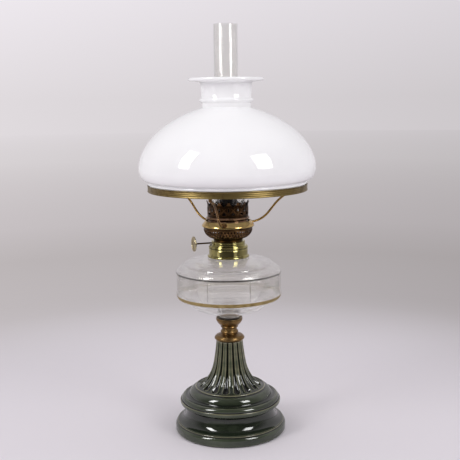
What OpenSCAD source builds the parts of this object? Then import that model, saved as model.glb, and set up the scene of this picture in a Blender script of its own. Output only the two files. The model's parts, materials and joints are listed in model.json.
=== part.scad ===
// Kerosene table lamp: a fluted pottery foot, a pressed glass font, a round-wick
// burner with its chimney, and an opal glass shade on a three-armed brass holder.
// The lamp stands on the table at z = 0 and its axis is the Z axis. The front is -Y.

/* [Pottery foot] */
// Diameter of the rim that stands on the table
foot_d = 171; // [164:1:180]
// Height of the pottery up to the top of its column
foot_h = 142; // [136:1:150]
// Thickness of the pottery
pottery_wall = 6; // [4:0.5:7]
// Height of the rounded rim
rim_h = 15.5; // [12:0.5:18]
// Diameter of the waist above the rim
waist_d = 136; // [128:1:140]
// Height of the waist above the table
waist_z = 36.5; // [33:0.5:38]
// Diameter of the rolled moulding above the waist
moulding_d = 155.4; // [150:0.2:160]
// Radius of the moulding's rolled edge
moulding_roll = 5.6; // [4.5:0.1:6]
// Height of the middle of the moulding
moulding_z = 46.2; // [45:0.2:48]
// Diameter of the shoulder above the moulding, at its foot
band_d = 126.8; // [122:0.2:130]
// Height of the shoulder's foot
band_z = 57.2; // [56.6:0.2:60]
// Diameter of the bead under the flutes
bead_d = 106; // [100:1:110]
// Height of that bead
bead_z = 68.5; // [67:0.5:71]
// Diameter of the column at its top
column_d = 40.6; // [38:0.2:43]

/* [Flutes] */
// Number of deep flutes round the column, with a shallow one between each two
flute_count = 16; // [12:1:20]
// Depth of the deep flutes
flute_depth = 1.8; // [1:0.1:2.4]
// Width of a deep flute, as an angle round the column
flute_angle = 8.5; // [6:0.5:10]
// Width of a shallow flute, as an angle round the column
fillet_angle = 3.5; // [2:0.5:5]

/* [Brass connector] */
// Diameter of the rolled collar on the column
collar_roll_d = 46.2; // [44.6:0.2:50]
// Height of the connector from the column's top to its seam
seam_h = 18; // [16:0.5:20]
// Diameter of the connector at its seam
seam_d = 23; // [21:0.5:26]
// Diameter of the cup that holds the font
cup_d = 40.6; // [38:0.2:46]
// Height of the cup above the seam
cup_h = 17; // [15:0.5:20]
// Thickness of the sheet brass of the connector
connector_wall = 1.2; // [0.8:0.1:1.6]
// Diameter of the screwed stud inside the connector
stud_d = 10; // [8:0.5:11]

/* [Glass font] */
// Diameter of the font at its sharp shoulder
font_d = 161.4; // [156:0.2:168]
// Height of the font's bowl, from the cup's rim to the upright wall
font_bowl_h = 40; // [36:0.5:44]
// Height of the font's upright wall
font_wall_h = 34; // [30:0.5:40]
// Height of the font's dome above its shoulder
font_dome_h = 21; // [19:0.5:24]
// Thickness of the pressed glass
font_glass = 3.4; // [2.8:0.1:4.6]
// Number of panels cut in the upright wall
panel_count = 8; // [6:1:10]
// Depth of a panel at its middle
panel_depth = 1.4; // [0.8:0.1:2]
// Diameter of the glass peg that stands in the cup
peg_d = 32; // [28:0.5:33]
// Diameter of the font's neck inside its brass collar
font_neck_d = 51; // [49:0.2:52]

/* [Font collar] */
// Diameter of the brass collar on the font
font_collar_d = 59; // [57.6:0.2:62]
// Diameter of the bead at the collar's foot
font_collar_bead_d = 64; // [62:0.2:67]
// Height of the brass collar
font_collar_h = 14.3; // [13:0.1:17]
// Diameter of the screw thread that the burner stands in
thread_d = 54; // [53:0.2:55.2]
// Rise of the burner for one turn in its thread
thread_pitch = 1.8; // [1.4:0.1:2.2]
// Number of turns of thread on the burner's skirt
thread_turns = 4; // [3:1:4]
// Thickness of the burner's sealing ring
gasket_t = 0.8; // [0.5:0.1:1.5]

/* [Burner] */
// Diameter of the flange that rests on the sealing ring
burner_flange_d = 60.2; // [58.4:0.2:64]
// Height of that flange
burner_flange_h = 3.3; // [2.5:0.1:4.5]
// Diameter of the ring that the wick spindle enters
burner_ring_d = 51; // [50:0.2:53]
// Height of that ring
burner_ring_h = 7.8; // [7.4:0.1:9]
// Thickness of the burner's sheet brass
burner_wall = 0.8; // [0.6:0.1:1]
// Diameter of the pierced bowl where it joins the ring
bowl_neck_d = 44.6; // [43:0.2:46]
// Diameter of the pierced bowl at its rim
bowl_d = 74; // [72:0.2:77]
// Height of the pierced bowl
bowl_h = 20.5; // [19:0.5:24]
// Number of holes in one row round the bowl
bowl_hole_count = 48; // [36:1:54]
// Diameter of the holes in the bowl
bowl_hole_d = 2; // [1.4:0.1:2.4]
// Outer diameter of the wick tube
wick_tube_d = 24.4; // [24:0.1:25]
// Height of the wick tube's mouth above the burner's flange
wick_tube_h = 84.2; // [78:0.2:88]
// Thickness of the wick tube and the draught tube
tube_wall = 0.6; // [0.4:0.1:0.8]
// Thickness of the woven wick
wick_t = 2; // [1.6:0.1:2.4]
// Gap between the wick and each tube
wick_gap = 0.1; // [0.05:0.05:0.2]
// Width of the air slot between the tubes, as an angle
air_slot_angle = 44; // [36:1:54]

/* [Wick winder] */
// Diameter of the knob
knob_d = 23.4; // [20:0.2:25]
// Thickness of the knob's rim
knob_t = 2.4; // [2:0.1:3.2]
// Distance of the knob's outer face from the middle of the spindle
knob_reach = 51; // [46:0.5:56]
// Diameter of the spindle
spindle_d = 2.4; // [2:0.1:2.6]
// Turn of the spindle towards the front, from pointing straight left
spindle_turn = 18; // [10:1:26]
// Outer diameter of the toothed wick wheels
wheel_d = 8.1; // [7.4:0.1:8.2]
// Thickness of a wick wheel
wheel_t = 1; // [0.8:0.1:1.2]
// Number of teeth on a wick wheel
wheel_teeth = 12; // [8:1:16]
// Distance between the two wick wheels
wheel_spacing = 5; // [4:0.2:5.6]
// Running clearance of a turning piece
running_gap = 0.06; // [0.02:0.01:0.1]

/* [Gallery] */
// Outer diameter of the gallery's skirt
gallery_skirt_d = 60.4; // [60:0.1:61]
// Diameter of the gallery's flange
gallery_flange_d = 65.6; // [64:0.2:66]
// Height of the gallery's flange above its foot
gallery_flange_z = 12.1; // [11:0.1:14]
// Outer diameter of the pierced crown
crown_d = 62.2; // [62:0.1:63]
// Diameter across the curled tips of the crown
crown_tip_d = 66; // [64.5:0.1:66.2]
// Height of the pierced crown
crown_h = 22.8; // [21:0.2:25]
// Number of points round the crown
crown_points = 14; // [10:1:16]
// Number of springs that hold the chimney
spring_count = 4; // [3:1:6]

/* [Chimney] */
// Diameter of the chimney's wide foot
chimney_foot_d = 53; // [51.5:0.1:53.4]
// Height of the chimney's wide foot
chimney_foot_h = 41; // [39:0.5:46]
// Diameter of the chimney's tube
chimney_tube_d = 35.4; // [33:0.2:37]
// Height of the whole chimney
chimney_h = 283.5; // [265:0.5:300]
// Thickness of the chimney's glass
chimney_glass = 1.5; // [1.2:0.1:1.8]

/* [Shade holder] */
// Bore of the holder's hub, which passes over the gallery
hub_bore_d = 67; // [66.8:0.1:68]
// Diameter of the hub's lower edge
hub_d = 79.4; // [78:0.2:82]
// Height of the hub
hub_h = 8.6; // [8:0.1:10]
// Thickness of the holder's arms
arm_d = 3.4; // [3:0.1:3.8]
// Turn of the front arm to the left of the front
arm_turn = 12; // [0:1:30]
// Outer diameter of the ring that carries the shade
ring_d = 240; // [236:0.5:246]
// Height of that ring
ring_h = 9.9; // [8:0.1:13]
// Height of the ring's underside above the hub's foot
ring_rise = 54.2; // [50:0.2:58]
// Width of the ledge inside the ring
ledge_w = 6; // [5:0.5:9]
// Thickness of the ring's brass
ring_wall = 1.4; // [1:0.1:1.8]

/* [Opal shade] */
// Diameter of the shade's foot inside the ring
shade_foot_d = 234.4; // [230:0.2:236]
// Height of the shade's upright foot
shade_foot_h = 11; // [10.4:0.2:16]
// Greatest diameter of the shade
shade_d = 265.4; // [258:0.2:280]
// Height of the shade's greatest diameter above its foot's edge
shade_belly_z = 30; // [27:0.5:36]
// Height of the shade's dome, up to its neck
shade_dome_h = 122; // [112:0.5:130]
// Outer diameter of the shade's neck
shade_neck_d = 74.6; // [70:0.2:80]
// Height of the neck up to its flange
shade_neck_h = 35; // [30:0.5:40]
// Diameter of the flange on the neck
shade_flange_d = 110.6; // [100:0.2:116]
// Thickness of the opal glass
opal_glass = 3; // [2.4:0.1:3.6]

/* [Hidden] */
$fn = 96;
cut = 0.5;
seat_gap = 0.1;
wheel_gap = 0.2;
neck_seat_h = 4.5;
socket_h = 14;

// Heights above the table at which the pieces stand on each other
seam_z = foot_h + seam_h;
cup_rim_z = seam_z + cup_h;
wall_z = cup_rim_z + font_bowl_h;
shoulder_z = wall_z + font_wall_h;
neck_z = shoulder_z + font_dome_h;
collar_top_z = neck_z + font_collar_h;
flange_z = collar_top_z + gasket_t;
ring_z = flange_z + burner_flange_h;
bowl_z = ring_z + burner_ring_h - burner_wall;
spindle_z = flange_z + burner_wall + wheel_d / 2 + wheel_gap;
bowl_rim_z = bowl_z + bowl_h + burner_wall;
hub_z = bowl_rim_z + burner_wall;
chimney_z = hub_z + gallery_flange_z + 2.3;
mouth_z = flange_z + wick_tube_h;
holder_ring_z = hub_z + ring_rise;
shade_z = holder_ring_z + ring_wall;

// Radii used by more than one piece
column_r = column_d / 2;
collar_hole_r = stud_d / 2 + seat_gap / 2;
wick_tube_bore = wick_tube_d / 2 - tube_wall;
draught_r = wick_tube_bore - wick_t - 2 * wick_gap;
deck_neck_r = gallery_skirt_d / 2 - burner_wall - seat_gap;
wheel_offset = wick_tube_bore - wick_gap + wheel_d / 2;

// Points of an arc round [x, y]
function arc(x, y, r, a0, a1, n = 8) =
    [for (i = [0 : n]) [x + r * cos(a0 + (a1 - a0) * i / n), y + r * sin(a0 + (a1 - a0) * i / n)]];

// Points of a curve that leaves p0 towards p1 and reaches p3 from p2
function curve(p0, p1, p2, p3, n = 10) =
    [for (i = [0 : n]) let (t = i / n, u = 1 - t)
        u * u * u * p0 + 3 * u * u * t * p1 + 3 * u * t * t * p2 + t * t * t * p3];

function backwards(points) = [for (i = [len(points) - 1 : -1 : 0]) points[i]];

module turned(points) {
    rotate_extrude() polygon(points);
}

module around(count, turn = 0) {
    for (i = [0 : count - 1]) rotate([0, 0, turn + i * 360 / count]) children();
}

// Foot: glazed pottery, one hollow casting with a fluted column
function column_curve(inset) = concat(
    curve([bead_d / 2 - 2.5 - inset / 3, bead_z + 0.7 - inset],
        [bead_d / 2 - 13 - inset / 2, bead_z + 4 - 0.9 * inset],
        [column_r + 9.7 - 0.9 * inset, bead_z + 15.5 - inset / 3],
        [column_r + 4.9 - inset, bead_z + 36.5], 8),
    curve([column_r + 4.3 - inset, bead_z + 40], [column_r + 2.6 - inset, bead_z + 50],
        [column_r + 0.7 - inset, foot_h - 12], [column_r - inset, foot_h], 4)
);

function foot_outside() = concat(
    [[foot_d / 2 - 3.5, 0], [foot_d / 2 - 1, 1.5], [foot_d / 2, 5], [foot_d / 2, rim_h - 4.5]],
    [[foot_d / 2 - 0.9, rim_h - 2], [foot_d / 2 - 2.4, rim_h]],
    curve([foot_d / 2 - 3, rim_h + 1.2], [foot_d / 2 - 12, rim_h + 2.6],
        [waist_d / 2 + 1.2, waist_z - 14.5], [waist_d / 2, waist_z], 7),
    [[waist_d / 2 + 0.6, waist_z + 1.5]],
    arc(moulding_d / 2 - moulding_roll, moulding_z, moulding_roll, -55, 10, 4),
    [[moulding_d / 2 - 0.4, moulding_z + 2.6], [moulding_d / 2 - 2.5, moulding_z + 4]],
    curve([moulding_d / 2 - 2.4, moulding_z + 4.6], [moulding_d / 2 - 2.3, moulding_z + 6.8],
        [moulding_d / 2 - 4, moulding_z + 8.4], [moulding_d / 2 - 5.5, moulding_z + 9.4], 3),
    curve([moulding_d / 2 - 6.7, moulding_z + 9.7], [moulding_d / 2 - 9, moulding_z + 9.2],
        [band_d / 2 + 2, band_z - 1.6], [band_d / 2, band_z], 3),
    curve([band_d / 2 - 0.3, band_z + 0.8], [band_d / 2 - 0.8, band_z + 5.3],
        [bead_d / 2 + 6.5, bead_z - 2.3], [bead_d / 2 + 2.4, bead_z - 1.5], 5),
    [[bead_d / 2 + 1.4, bead_z], [bead_d / 2, bead_z + 1.1], [bead_d / 2 - 1.4, bead_z + 0.8]],
    column_curve(0)
);

function foot_inside() = concat(
    [[foot_d / 2 - 2 - pottery_wall, 0], [foot_d / 2 - 1 - pottery_wall, rim_h - 7]],
    [[waist_d / 2 + 1 - pottery_wall, rim_h + 1], [waist_d / 2 - pottery_wall, waist_z]],
    [[moulding_d / 2 - 7.5 - pottery_wall, moulding_z + 3], [band_d / 2 + 1.5 - pottery_wall, band_z - 1.2]],
    [for (p = column_curve(pottery_wall)) if (p[1] < foot_h - socket_h) p],
    [[column_r - pottery_wall, foot_h - socket_h]]
);

plaster_hole_r = column_r - pottery_wall - 4.5;

// Slant of a flute's upper end, from its floor outwards
flute_end = [4, 1.5];

module flute(angle, depth, foot_z) {
    floor_line = [for (p = column_curve(depth)) if (p[1] > foot_z && p[1] < foot_h - 6) p];
    air_line = [for (p = column_curve(-4)) if (p[1] > foot_z && p[1] < foot_h - 6) p];
    rotate([0, 0, -angle / 2])
        rotate_extrude(angle = angle) polygon(concat(
            floor_line,
            [floor_line[len(floor_line) - 1] + flute_end],
            backwards(air_line)
        ));
}

module foot() {
    color("#4b5442") difference() {
        turned(concat(foot_outside(), [[plaster_hole_r, foot_h], [plaster_hole_r, foot_h - socket_h]],
            backwards(foot_inside())));
        around(flute_count, -99) flute(flute_angle, flute_depth, bead_z + 2);
        around(flute_count, -99 + 180 / flute_count) flute(fillet_angle, flute_depth / 2, bead_z + 2);
    }
}

// Connector: plaster and a screwed stud join the brass collar to the column
collar_skirt_r = column_r + 0.3;
roll_r = 3.8;

function column_collar_outside() = concat(
    [[collar_skirt_r, foot_h - 0.6]],
    arc(collar_roll_d / 2 - roll_r, foot_h + 4.8, roll_r, -60, 88, 8),
    [[seam_d / 2 + 4, foot_h + 10.2]],
    arc(seam_d / 2 - 0.4, foot_h + 13.4, 2.5, -65, 62, 6),
    [[seam_d / 2, seam_z - 1], [seam_d / 2, seam_z]]
);

function column_collar_inside() = [
    [collar_skirt_r - 0.25, foot_h],
    [collar_roll_d / 2 - roll_r, foot_h + 4.8 - roll_r + connector_wall],
    [collar_roll_d / 2 - connector_wall, foot_h + 4.8],
    [collar_roll_d / 2 - roll_r, foot_h + 4.8 + roll_r - connector_wall],
    [seam_d / 2, foot_h + 10.2 - connector_wall],
    [collar_hole_r + 2, foot_h + 10.2],
    [collar_hole_r + 2, seam_z - 3]
];

module column_collar() {
    color("#9a7340") turned(concat(
        [[collar_hole_r, seam_z], [collar_hole_r, seam_z - 3]],
        backwards(column_collar_inside()),
        column_collar_outside()
    ));
}

module stud_space(below = 0) {
    translate([0, 0, foot_h - socket_h - below])
        cylinder(r = stud_d / 2, h = seam_h + socket_h + cup_h / 2 + below);
}

module column_plaster() {
    color("#d8d2c4") difference() {
        turned(concat(
            [[0, foot_h - socket_h], [plaster_hole_r, foot_h - socket_h], [plaster_hole_r, foot_h]],
            [[column_r - 0.2, foot_h]],
            column_collar_inside(),
            [[0, seam_z - 3]]
        ));
        stud_space(cut);
    }
}

module connector_stud() {
    color("#a9803f") stud_space();
}

// Cup: the upper half of the connector, with a boss that screws on the stud
boss_r = stud_d / 2 + 2.2;
boss_top_z = seam_z + cup_h / 2;
peg_z = boss_top_z + 1;

function font_cup_outside() = concat(
    [[seam_d / 2, seam_z], [seam_d / 2, seam_z + 1.4], [seam_d / 2 + 1.4, seam_z + 2.6]],
    curve([seam_d / 2 + 1.8, seam_z + 4], [seam_d / 2 + 5, seam_z + 7.5],
        [cup_d / 2 - 1, seam_z + 9], [cup_d / 2 - 0.6, cup_rim_z - 3.6], 6),
    [[cup_d / 2, cup_rim_z - 3], [cup_d / 2, cup_rim_z]]
);

function font_cup_inside() = [
    [boss_r, boss_top_z],
    [boss_r, seam_z + 4.5],
    [seam_d / 2 + 0.6, seam_z + 4.5],
    [cup_d / 2 - 0.8 - 2 * connector_wall, cup_rim_z - 7],
    [cup_d / 2 - connector_wall, cup_rim_z - 3],
    [cup_d / 2 - connector_wall, cup_rim_z - 1]
];

module font_cup() {
    color("#8d6a3c") turned(concat(
        [[stud_d / 2 + seat_gap / 2, seam_z]],
        font_cup_outside(),
        [[cup_d / 2 - connector_wall, cup_rim_z]],
        backwards(font_cup_inside()),
        [[stud_d / 2 + seat_gap / 2, boss_top_z]]
    ));
}

module cup_plaster() {
    color("#d8d2c4") difference() {
        turned(concat([[0, boss_top_z]], font_cup_inside(), [[0, cup_rim_z - 1]]));
        font_body();
    }
}

// Font: pressed clear glass with a peg below, panels round the wall and a neck above
bore_r = font_neck_d / 2 - font_glass + 1.2;

function font_outside() = concat(
    [[peg_d / 2 - 1, peg_z], [peg_d / 2, peg_z + 1], [peg_d / 2 + 0.8, cup_rim_z + 0.6]],
    curve([peg_d / 2 + 2, cup_rim_z + 3], [peg_d / 2 + 24, cup_rim_z + 13.5],
        [font_d / 2 - 24, wall_z - 26], [font_d / 2 - 20, wall_z - 14.2], 8),
    curve([font_d / 2 - 18.4, wall_z - 13], [font_d / 2 - 7.5, wall_z - 11.8],
        [font_d / 2 - 1.2, wall_z - 8], [font_d / 2 - 0.6, wall_z], 6),
    [[font_d / 2 - 0.2, shoulder_z - 2], [font_d / 2, shoulder_z - 0.6]],
    [[font_d / 2 - 0.3, shoulder_z + 0.8], [font_d / 2 - 1.6, shoulder_z + 2.8]],
    curve([font_d / 2 - 2.2, shoulder_z + 3.4], [font_d / 2 - 4, shoulder_z + 5.6],
        [font_d / 2 - 7, shoulder_z + 7.4], [font_d / 2 - 10, shoulder_z + 8], 4),
    curve([font_d / 2 - 10.5, shoulder_z + 8.6], [font_d / 2 - 13.2, shoulder_z + 14.5],
        [font_d / 2 - 26, neck_z - 1.5], [font_neck_d / 2 + 1.5, neck_z - 0.4], 8),
    [[font_neck_d / 2, neck_z + 0.8], [font_neck_d / 2, neck_z + neck_seat_h]]
);

function font_inside() = concat(
    [[0, cup_rim_z + 9], [peg_d / 2, cup_rim_z + 10]],
    curve([peg_d / 2 + 6, cup_rim_z + 11.4], [peg_d / 2 + 26, cup_rim_z + 21],
        [font_d / 2 - 24, wall_z - 11], [font_d / 2 - 4 - font_glass, wall_z - 5], 6),
    [[font_d / 2 - panel_depth - font_glass, wall_z + 4]],
    [[font_d / 2 - panel_depth - font_glass, shoulder_z - 4]],
    curve([font_d / 2 - 3 - font_glass, shoulder_z - 1], [font_d / 2 - 9.5, shoulder_z + 8],
        [font_d / 2 - 25, neck_z - 1.5 - font_glass], [bore_r + 4, neck_z - font_glass], 6),
    [[bore_r, neck_z - font_glass + 3], [bore_r, neck_z + neck_seat_h]]
);

// A panel is part of a wide upright cylinder that meets the wall along its two edges
panel_half_w = font_d / 2 * sin(180 / panel_count);
panel_sag = font_d / 2 - panel_depth - font_d / 2 * cos(180 / panel_count);
panel_r = (panel_half_w * panel_half_w + panel_sag * panel_sag) / (2 * panel_sag);

module panel_cut() {
    difference() {
        translate([font_d / 2 - 6, -panel_half_w, wall_z + 2.5])
            cube([12, 2 * panel_half_w, font_wall_h - 3.5]);
        translate([font_d / 2 - panel_depth - panel_r, 0, wall_z]) cylinder(r = panel_r, h = font_wall_h);
    }
}

module font_body() {
    turned(concat([[0, peg_z]], font_outside(), backwards(font_inside())));
}

module font() {
    color("#dfe6e4", 0.35) difference() {
        font_body();
        around(panel_count, -90) panel_cut();
    }
}

// Font collar: brass, cemented over the glass neck, with the thread for the burner
thread_r = thread_d / 2;
thread_lead = 1.2;
thread_z = flange_z - thread_turns * thread_pitch - thread_lead;
collar_r = font_collar_d / 2;

function font_collar_inside() = [
    [collar_r - 0.8, neck_z],
    [collar_r - 0.8, neck_z + neck_seat_h],
    [thread_r + 0.1, neck_z + neck_seat_h]
];

module font_collar() {
    color("#b9934b") turned(concat(
        font_collar_inside(),
        [[thread_r + 0.1, collar_top_z], [collar_r - 0.7, collar_top_z], [collar_r, collar_top_z - 0.7]],
        [[collar_r, neck_z + 4.2], [collar_r + 0.6, neck_z + 3.8]],
        arc(font_collar_bead_d / 2 - 1.7, neck_z + 2, 1.7, 60, -70, 6),
        [[collar_r + 0.6, neck_z]]
    ));
}

module collar_plaster() {
    color("#d8d2c4") difference() {
        turned([
            [font_neck_d / 2, neck_z],
            [collar_r - 0.8, neck_z],
            [collar_r - 0.8, neck_z + neck_seat_h],
            [font_neck_d / 2, neck_z + neck_seat_h]
        ]);
        font_body();
    }
}

// Burner base: the gasket, then a spun brass shell with a screwed skirt and a ring
module burner_gasket() {
    color("#3b2a20") turned([
        [thread_r + 0.4, collar_top_z],
        [collar_r - 0.8, collar_top_z],
        [collar_r - 0.8, flange_z],
        [thread_r + 0.4, flange_z]
    ]);
}

base_floor_r = wick_tube_d / 2;
ring_r = burner_ring_d / 2;
ring_top_z = ring_z + burner_ring_h - burner_wall;

module spindle_line(from, to, r) {
    rotate([0, 0, 180 + spindle_turn]) translate([from, -wheel_offset, spindle_z])
        rotate([0, 90, 0]) cylinder(r = r, h = to - from);
}

module burner_base() {
    color("#b9934b") difference() {
        turned([
            [thread_r, thread_z],
            [thread_r, flange_z],
            [burner_flange_d / 2 - 0.4, flange_z],
            [burner_flange_d / 2, flange_z + 0.6],
            [burner_flange_d / 2, ring_z - 1.2],
            [burner_flange_d / 2 - 1.4, ring_z],
            [ring_r, ring_z],
            [ring_r, ring_top_z - 0.6],
            [ring_r - 0.6, ring_top_z],
            [bowl_neck_d / 2 - burner_wall - 0.2, ring_top_z],
            [bowl_neck_d / 2 - burner_wall - 0.2, ring_top_z - burner_wall],
            [ring_r - burner_wall, ring_top_z - burner_wall],
            [ring_r - burner_wall, flange_z + burner_wall],
            [base_floor_r, flange_z + burner_wall],
            [base_floor_r, flange_z],
            [thread_r - burner_wall, flange_z],
            [thread_r - burner_wall, thread_z]
        ]);
        spindle_line(wheel_offset / 2, ring_r + 2, spindle_d / 2 + running_gap);
    }
}

// Wick tubes: the wick slides between an outer tube and a draught tube with a side door
slot_turn = -40;
slot_z = bowl_z + 1;
slot_h = bowl_h - 5;
tail_z = thread_z - 4;

module slot_cut(angle, r0, r1, z0, h) {
    rotate([0, 0, slot_turn - angle / 2]) rotate_extrude(angle = angle)
        translate([r0, z0]) square([r1 - r0, h]);
}

module wick_tube() {
    color("#8a6a3a") difference() {
        translate([0, 0, tail_z]) cylinder(r = wick_tube_d / 2, h = mouth_z - tail_z);
        translate([0, 0, tail_z - cut]) cylinder(r = wick_tube_bore, h = mouth_z - tail_z + 2 * cut);
        slot_cut(air_slot_angle, wick_tube_bore - 1, wick_tube_d / 2 + 1, slot_z, slot_h);
        for (side = [-1, 1]) rotate([0, 0, 180 + spindle_turn])
            translate([side * wheel_spacing / 2, -wheel_offset, spindle_z])
                translate([-wheel_t / 2 - 0.3, 0, -wheel_d / 2 - 0.3])
                    cube([wheel_t + 0.6, wheel_offset - wick_tube_d / 4, wheel_d + 0.6]);
    }
}

module draught_tube() {
    color("#8a6a3a") {
        difference() {
            union() {
                translate([0, 0, slot_z - tube_wall])
                    cylinder(r = draught_r, h = mouth_z - slot_z + tube_wall);
                slot_cut(air_slot_angle, draught_r - 0.4, wick_tube_bore,
                    slot_z - tube_wall, slot_h + 2 * tube_wall);
            }
            translate([0, 0, slot_z]) cylinder(r = draught_r - tube_wall, h = mouth_z - slot_z + cut);
            slot_cut(air_slot_angle - 6, draught_r - 2, wick_tube_bore + 1, slot_z, slot_h);
        }
    }
}

module wick() {
    color("#e8e0c8") difference() {
        translate([0, 0, tail_z]) cylinder(r = wick_tube_bore - wick_gap, h = mouth_z - tail_z);
        translate([0, 0, tail_z - cut]) cylinder(r = draught_r + wick_gap, h = mouth_z - tail_z + 2 * cut);
        slot_cut(air_slot_angle + 6, draught_r - 1, wick_tube_bore + 1,
            tail_z - cut, mouth_z - tail_z + 2 * cut);
    }
}

// Winder: two toothed wheels on a spindle press the wick up and down through the tube
box_half = wheel_spacing / 2 + wheel_t / 2 + 1.4;
box_floor_z = flange_z + burner_wall;
box_top_z = spindle_z + wheel_d / 2 + wheel_gap + tube_wall;
box_back = wheel_offset + wheel_d / 2 + wheel_gap + tube_wall;

module wheel_box() {
    color("#8a6a3a") difference() {
        rotate([0, 0, 180 + spindle_turn]) translate([0, 0, box_floor_z]) difference() {
            translate([-box_half, -box_back, 0]) cube([2 * box_half, box_back - 8, box_top_z - box_floor_z]);
            translate([-box_half + tube_wall, -box_back + tube_wall, -cut])
                cube([2 * box_half - 2 * tube_wall, box_back, box_top_z - box_floor_z - tube_wall + cut]);
        }
        translate([0, 0, box_floor_z - cut]) cylinder(r = wick_tube_d / 2, h = box_top_z);
        spindle_line(-box_half - 1, box_half + 1, spindle_d / 2 + running_gap);
    }
}

module wick_wheels() {
    step = 360 / wheel_teeth;
    tooth_edges = [[-0.3, 0.9], [-0.12, 0], [0.12, 0], [0.3, 0.9]];
    tooth_ring = [for (i = [0 : wheel_teeth - 1], edge = tooth_edges)
        let (a = (i + edge[0]) * step, r = wheel_d / 2 - edge[1]) [r * cos(a), r * sin(a)]];
    color("#a9803f") rotate([0, 0, 180 + spindle_turn])
        for (side = [-1, 1]) translate([side * wheel_spacing / 2 - wheel_t / 2, -wheel_offset, spindle_z])
            rotate([0, 90, 0]) linear_extrude(height = wheel_t) difference() {
                polygon(tooth_ring);
                circle(r = spindle_d / 2);
            }
}

module wick_spindle() {
    color("#4f3a22") spindle_line(-box_half - 1.5, knob_reach - knob_t / 2, spindle_d / 2);
}

module wick_knob() {
    rim_r = knob_d / 2;
    color("#a58a5c") rotate([0, 0, 180 + spindle_turn])
        translate([knob_reach - knob_t, -wheel_offset, spindle_z]) rotate([0, 90, 0]) turned([
            [spindle_d / 2, -3.4],
            [spindle_d / 2 + 1, -3.4],
            [spindle_d / 2 + 1.8, 0.6],
            [rim_r - 1.8, 0.6],
            [rim_r - 1.2, 0],
            [rim_r - 0.4, 0.2],
            [rim_r, 0.8],
            [rim_r, knob_t - 0.6],
            [rim_r - 0.4, knob_t - 0.1],
            [rim_r - 1.2, knob_t],
            [rim_r - 1.8, knob_t - 0.5],
            [rim_r - 2.2, knob_t / 2 + 0.2],
            [spindle_d / 2 + 2.2, knob_t / 2 + 0.2],
            [spindle_d / 2 + 0.8, knob_t],
            [0, knob_t],
            [0, knob_t / 2],
            [spindle_d / 2, knob_t / 2]
        ]);
}

// Bowl: pierced brass, flanged at the rim, under a pierced deck with a neck
bowl_r = bowl_d / 2;

function bowl_curve(inset) = concat(
    [[bowl_neck_d / 2 - inset, bowl_z], [bowl_neck_d / 2 - inset, bowl_z + 2.4 + inset / 2]],
    curve([bowl_neck_d / 2 + 1.8 - inset / 2, bowl_z + 3.6 + inset],
        [bowl_r - 6 - inset / 2, bowl_z + 6 + inset],
        [bowl_r - 0.6 - inset, bowl_z + 11 + inset / 2], [bowl_r - inset, bowl_z + bowl_h - 2.6], 8),
    [[bowl_r - inset, bowl_z + bowl_h]]
);

module bowl_row(z, r, turn) {
    around(bowl_hole_count, turn) translate([r - 5, 0, z]) rotate([0, 90, 0])
        cylinder(r = bowl_hole_d / 2, h = 10, $fn = 24);
}

module burner_bowl() {
    pitch = 360 / bowl_hole_count;
    color("#4e3b28") difference() {
        turned(concat(
            bowl_curve(0),
            [[bowl_r + 1.2, bowl_z + bowl_h], [bowl_r + 1.2, bowl_rim_z], [bowl_r - burner_wall, bowl_rim_z]],
            backwards(bowl_curve(burner_wall))
        ));
        bowl_row(bowl_z + 15.8, bowl_r, -90);
        bowl_row(bowl_z + 11.6, bowl_r - 1, -90 + pitch / 2);
        bowl_row(bowl_z + 7.8, bowl_r - 4, -90);
    }
}

module burner_deck() {
    hole_r = 1.3;
    neck_h = 7;
    color("#6b5230") difference() {
        turned([
            [base_floor_r + 0.2, bowl_rim_z],
            [bowl_r + 1.2, bowl_rim_z],
            [bowl_r + 1.2, hub_z],
            [deck_neck_r, hub_z],
            [deck_neck_r, hub_z + neck_h],
            [deck_neck_r - burner_wall, hub_z + neck_h],
            [deck_neck_r - burner_wall, hub_z],
            [base_floor_r + 0.2, hub_z]
        ]);
        for (row = [0 : 2]) around(24, row * 7.5)
            translate([base_floor_r + 4.3 + 4 * row, 0, bowl_rim_z - cut])
                cylinder(r = hole_r, h = burner_wall + 2 * cut, $fn = 24);
    }
}

// Gallery: pushed on the deck's neck, it carries the chimney between its springs
gallery_top_z = hub_z + gallery_flange_z + 3;
crown_r = crown_d / 2;
crown_wall = 0.7;

module gallery_base() {
    skirt = gallery_skirt_d / 2;
    flange = gallery_flange_d / 2;
    color("#8f6b3a") turned([
        [skirt - burner_wall, hub_z],
        [skirt, hub_z],
        [skirt, hub_z + 8.4],
        [skirt - 0.5, hub_z + 9.4],
        [skirt - 0.5, hub_z + 10.2],
        [skirt + 0.6, hub_z + gallery_flange_z - 0.8],
        [flange - 1, hub_z + gallery_flange_z],
        [flange, hub_z + gallery_flange_z + 0.8],
        [flange, hub_z + gallery_flange_z + 1.9],
        [flange - 0.8, gallery_top_z],
        [crown_r - crown_wall, gallery_top_z],
        [crown_r - crown_wall - 0.4, chimney_z],
        [chimney_foot_d / 2 - chimney_glass - 1.6, chimney_z],
        [chimney_foot_d / 2 - chimney_glass - 1.6, chimney_z - burner_wall],
        [skirt - burner_wall - 0.8, chimney_z - burner_wall],
        [skirt - burner_wall, hub_z + 10]
    ]);
}

crown_top_z = gallery_top_z + crown_h;
crown_flare_z = crown_top_z - 7;
crown_pitch = 360 / crown_points;
crown_front = -87.7;

module lens(w, h) {
    r = (h * h / 4 + w * w / 4) / w;
    intersection() {
        translate([r - w / 2, 0]) circle(r = r);
        translate([w / 2 - r, 0]) circle(r = r);
    }
}

module crown_cut() {
    translate([crown_r - 6, 0, 0]) rotate([90, 0, 90]) linear_extrude(height = 12) children();
}

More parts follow.
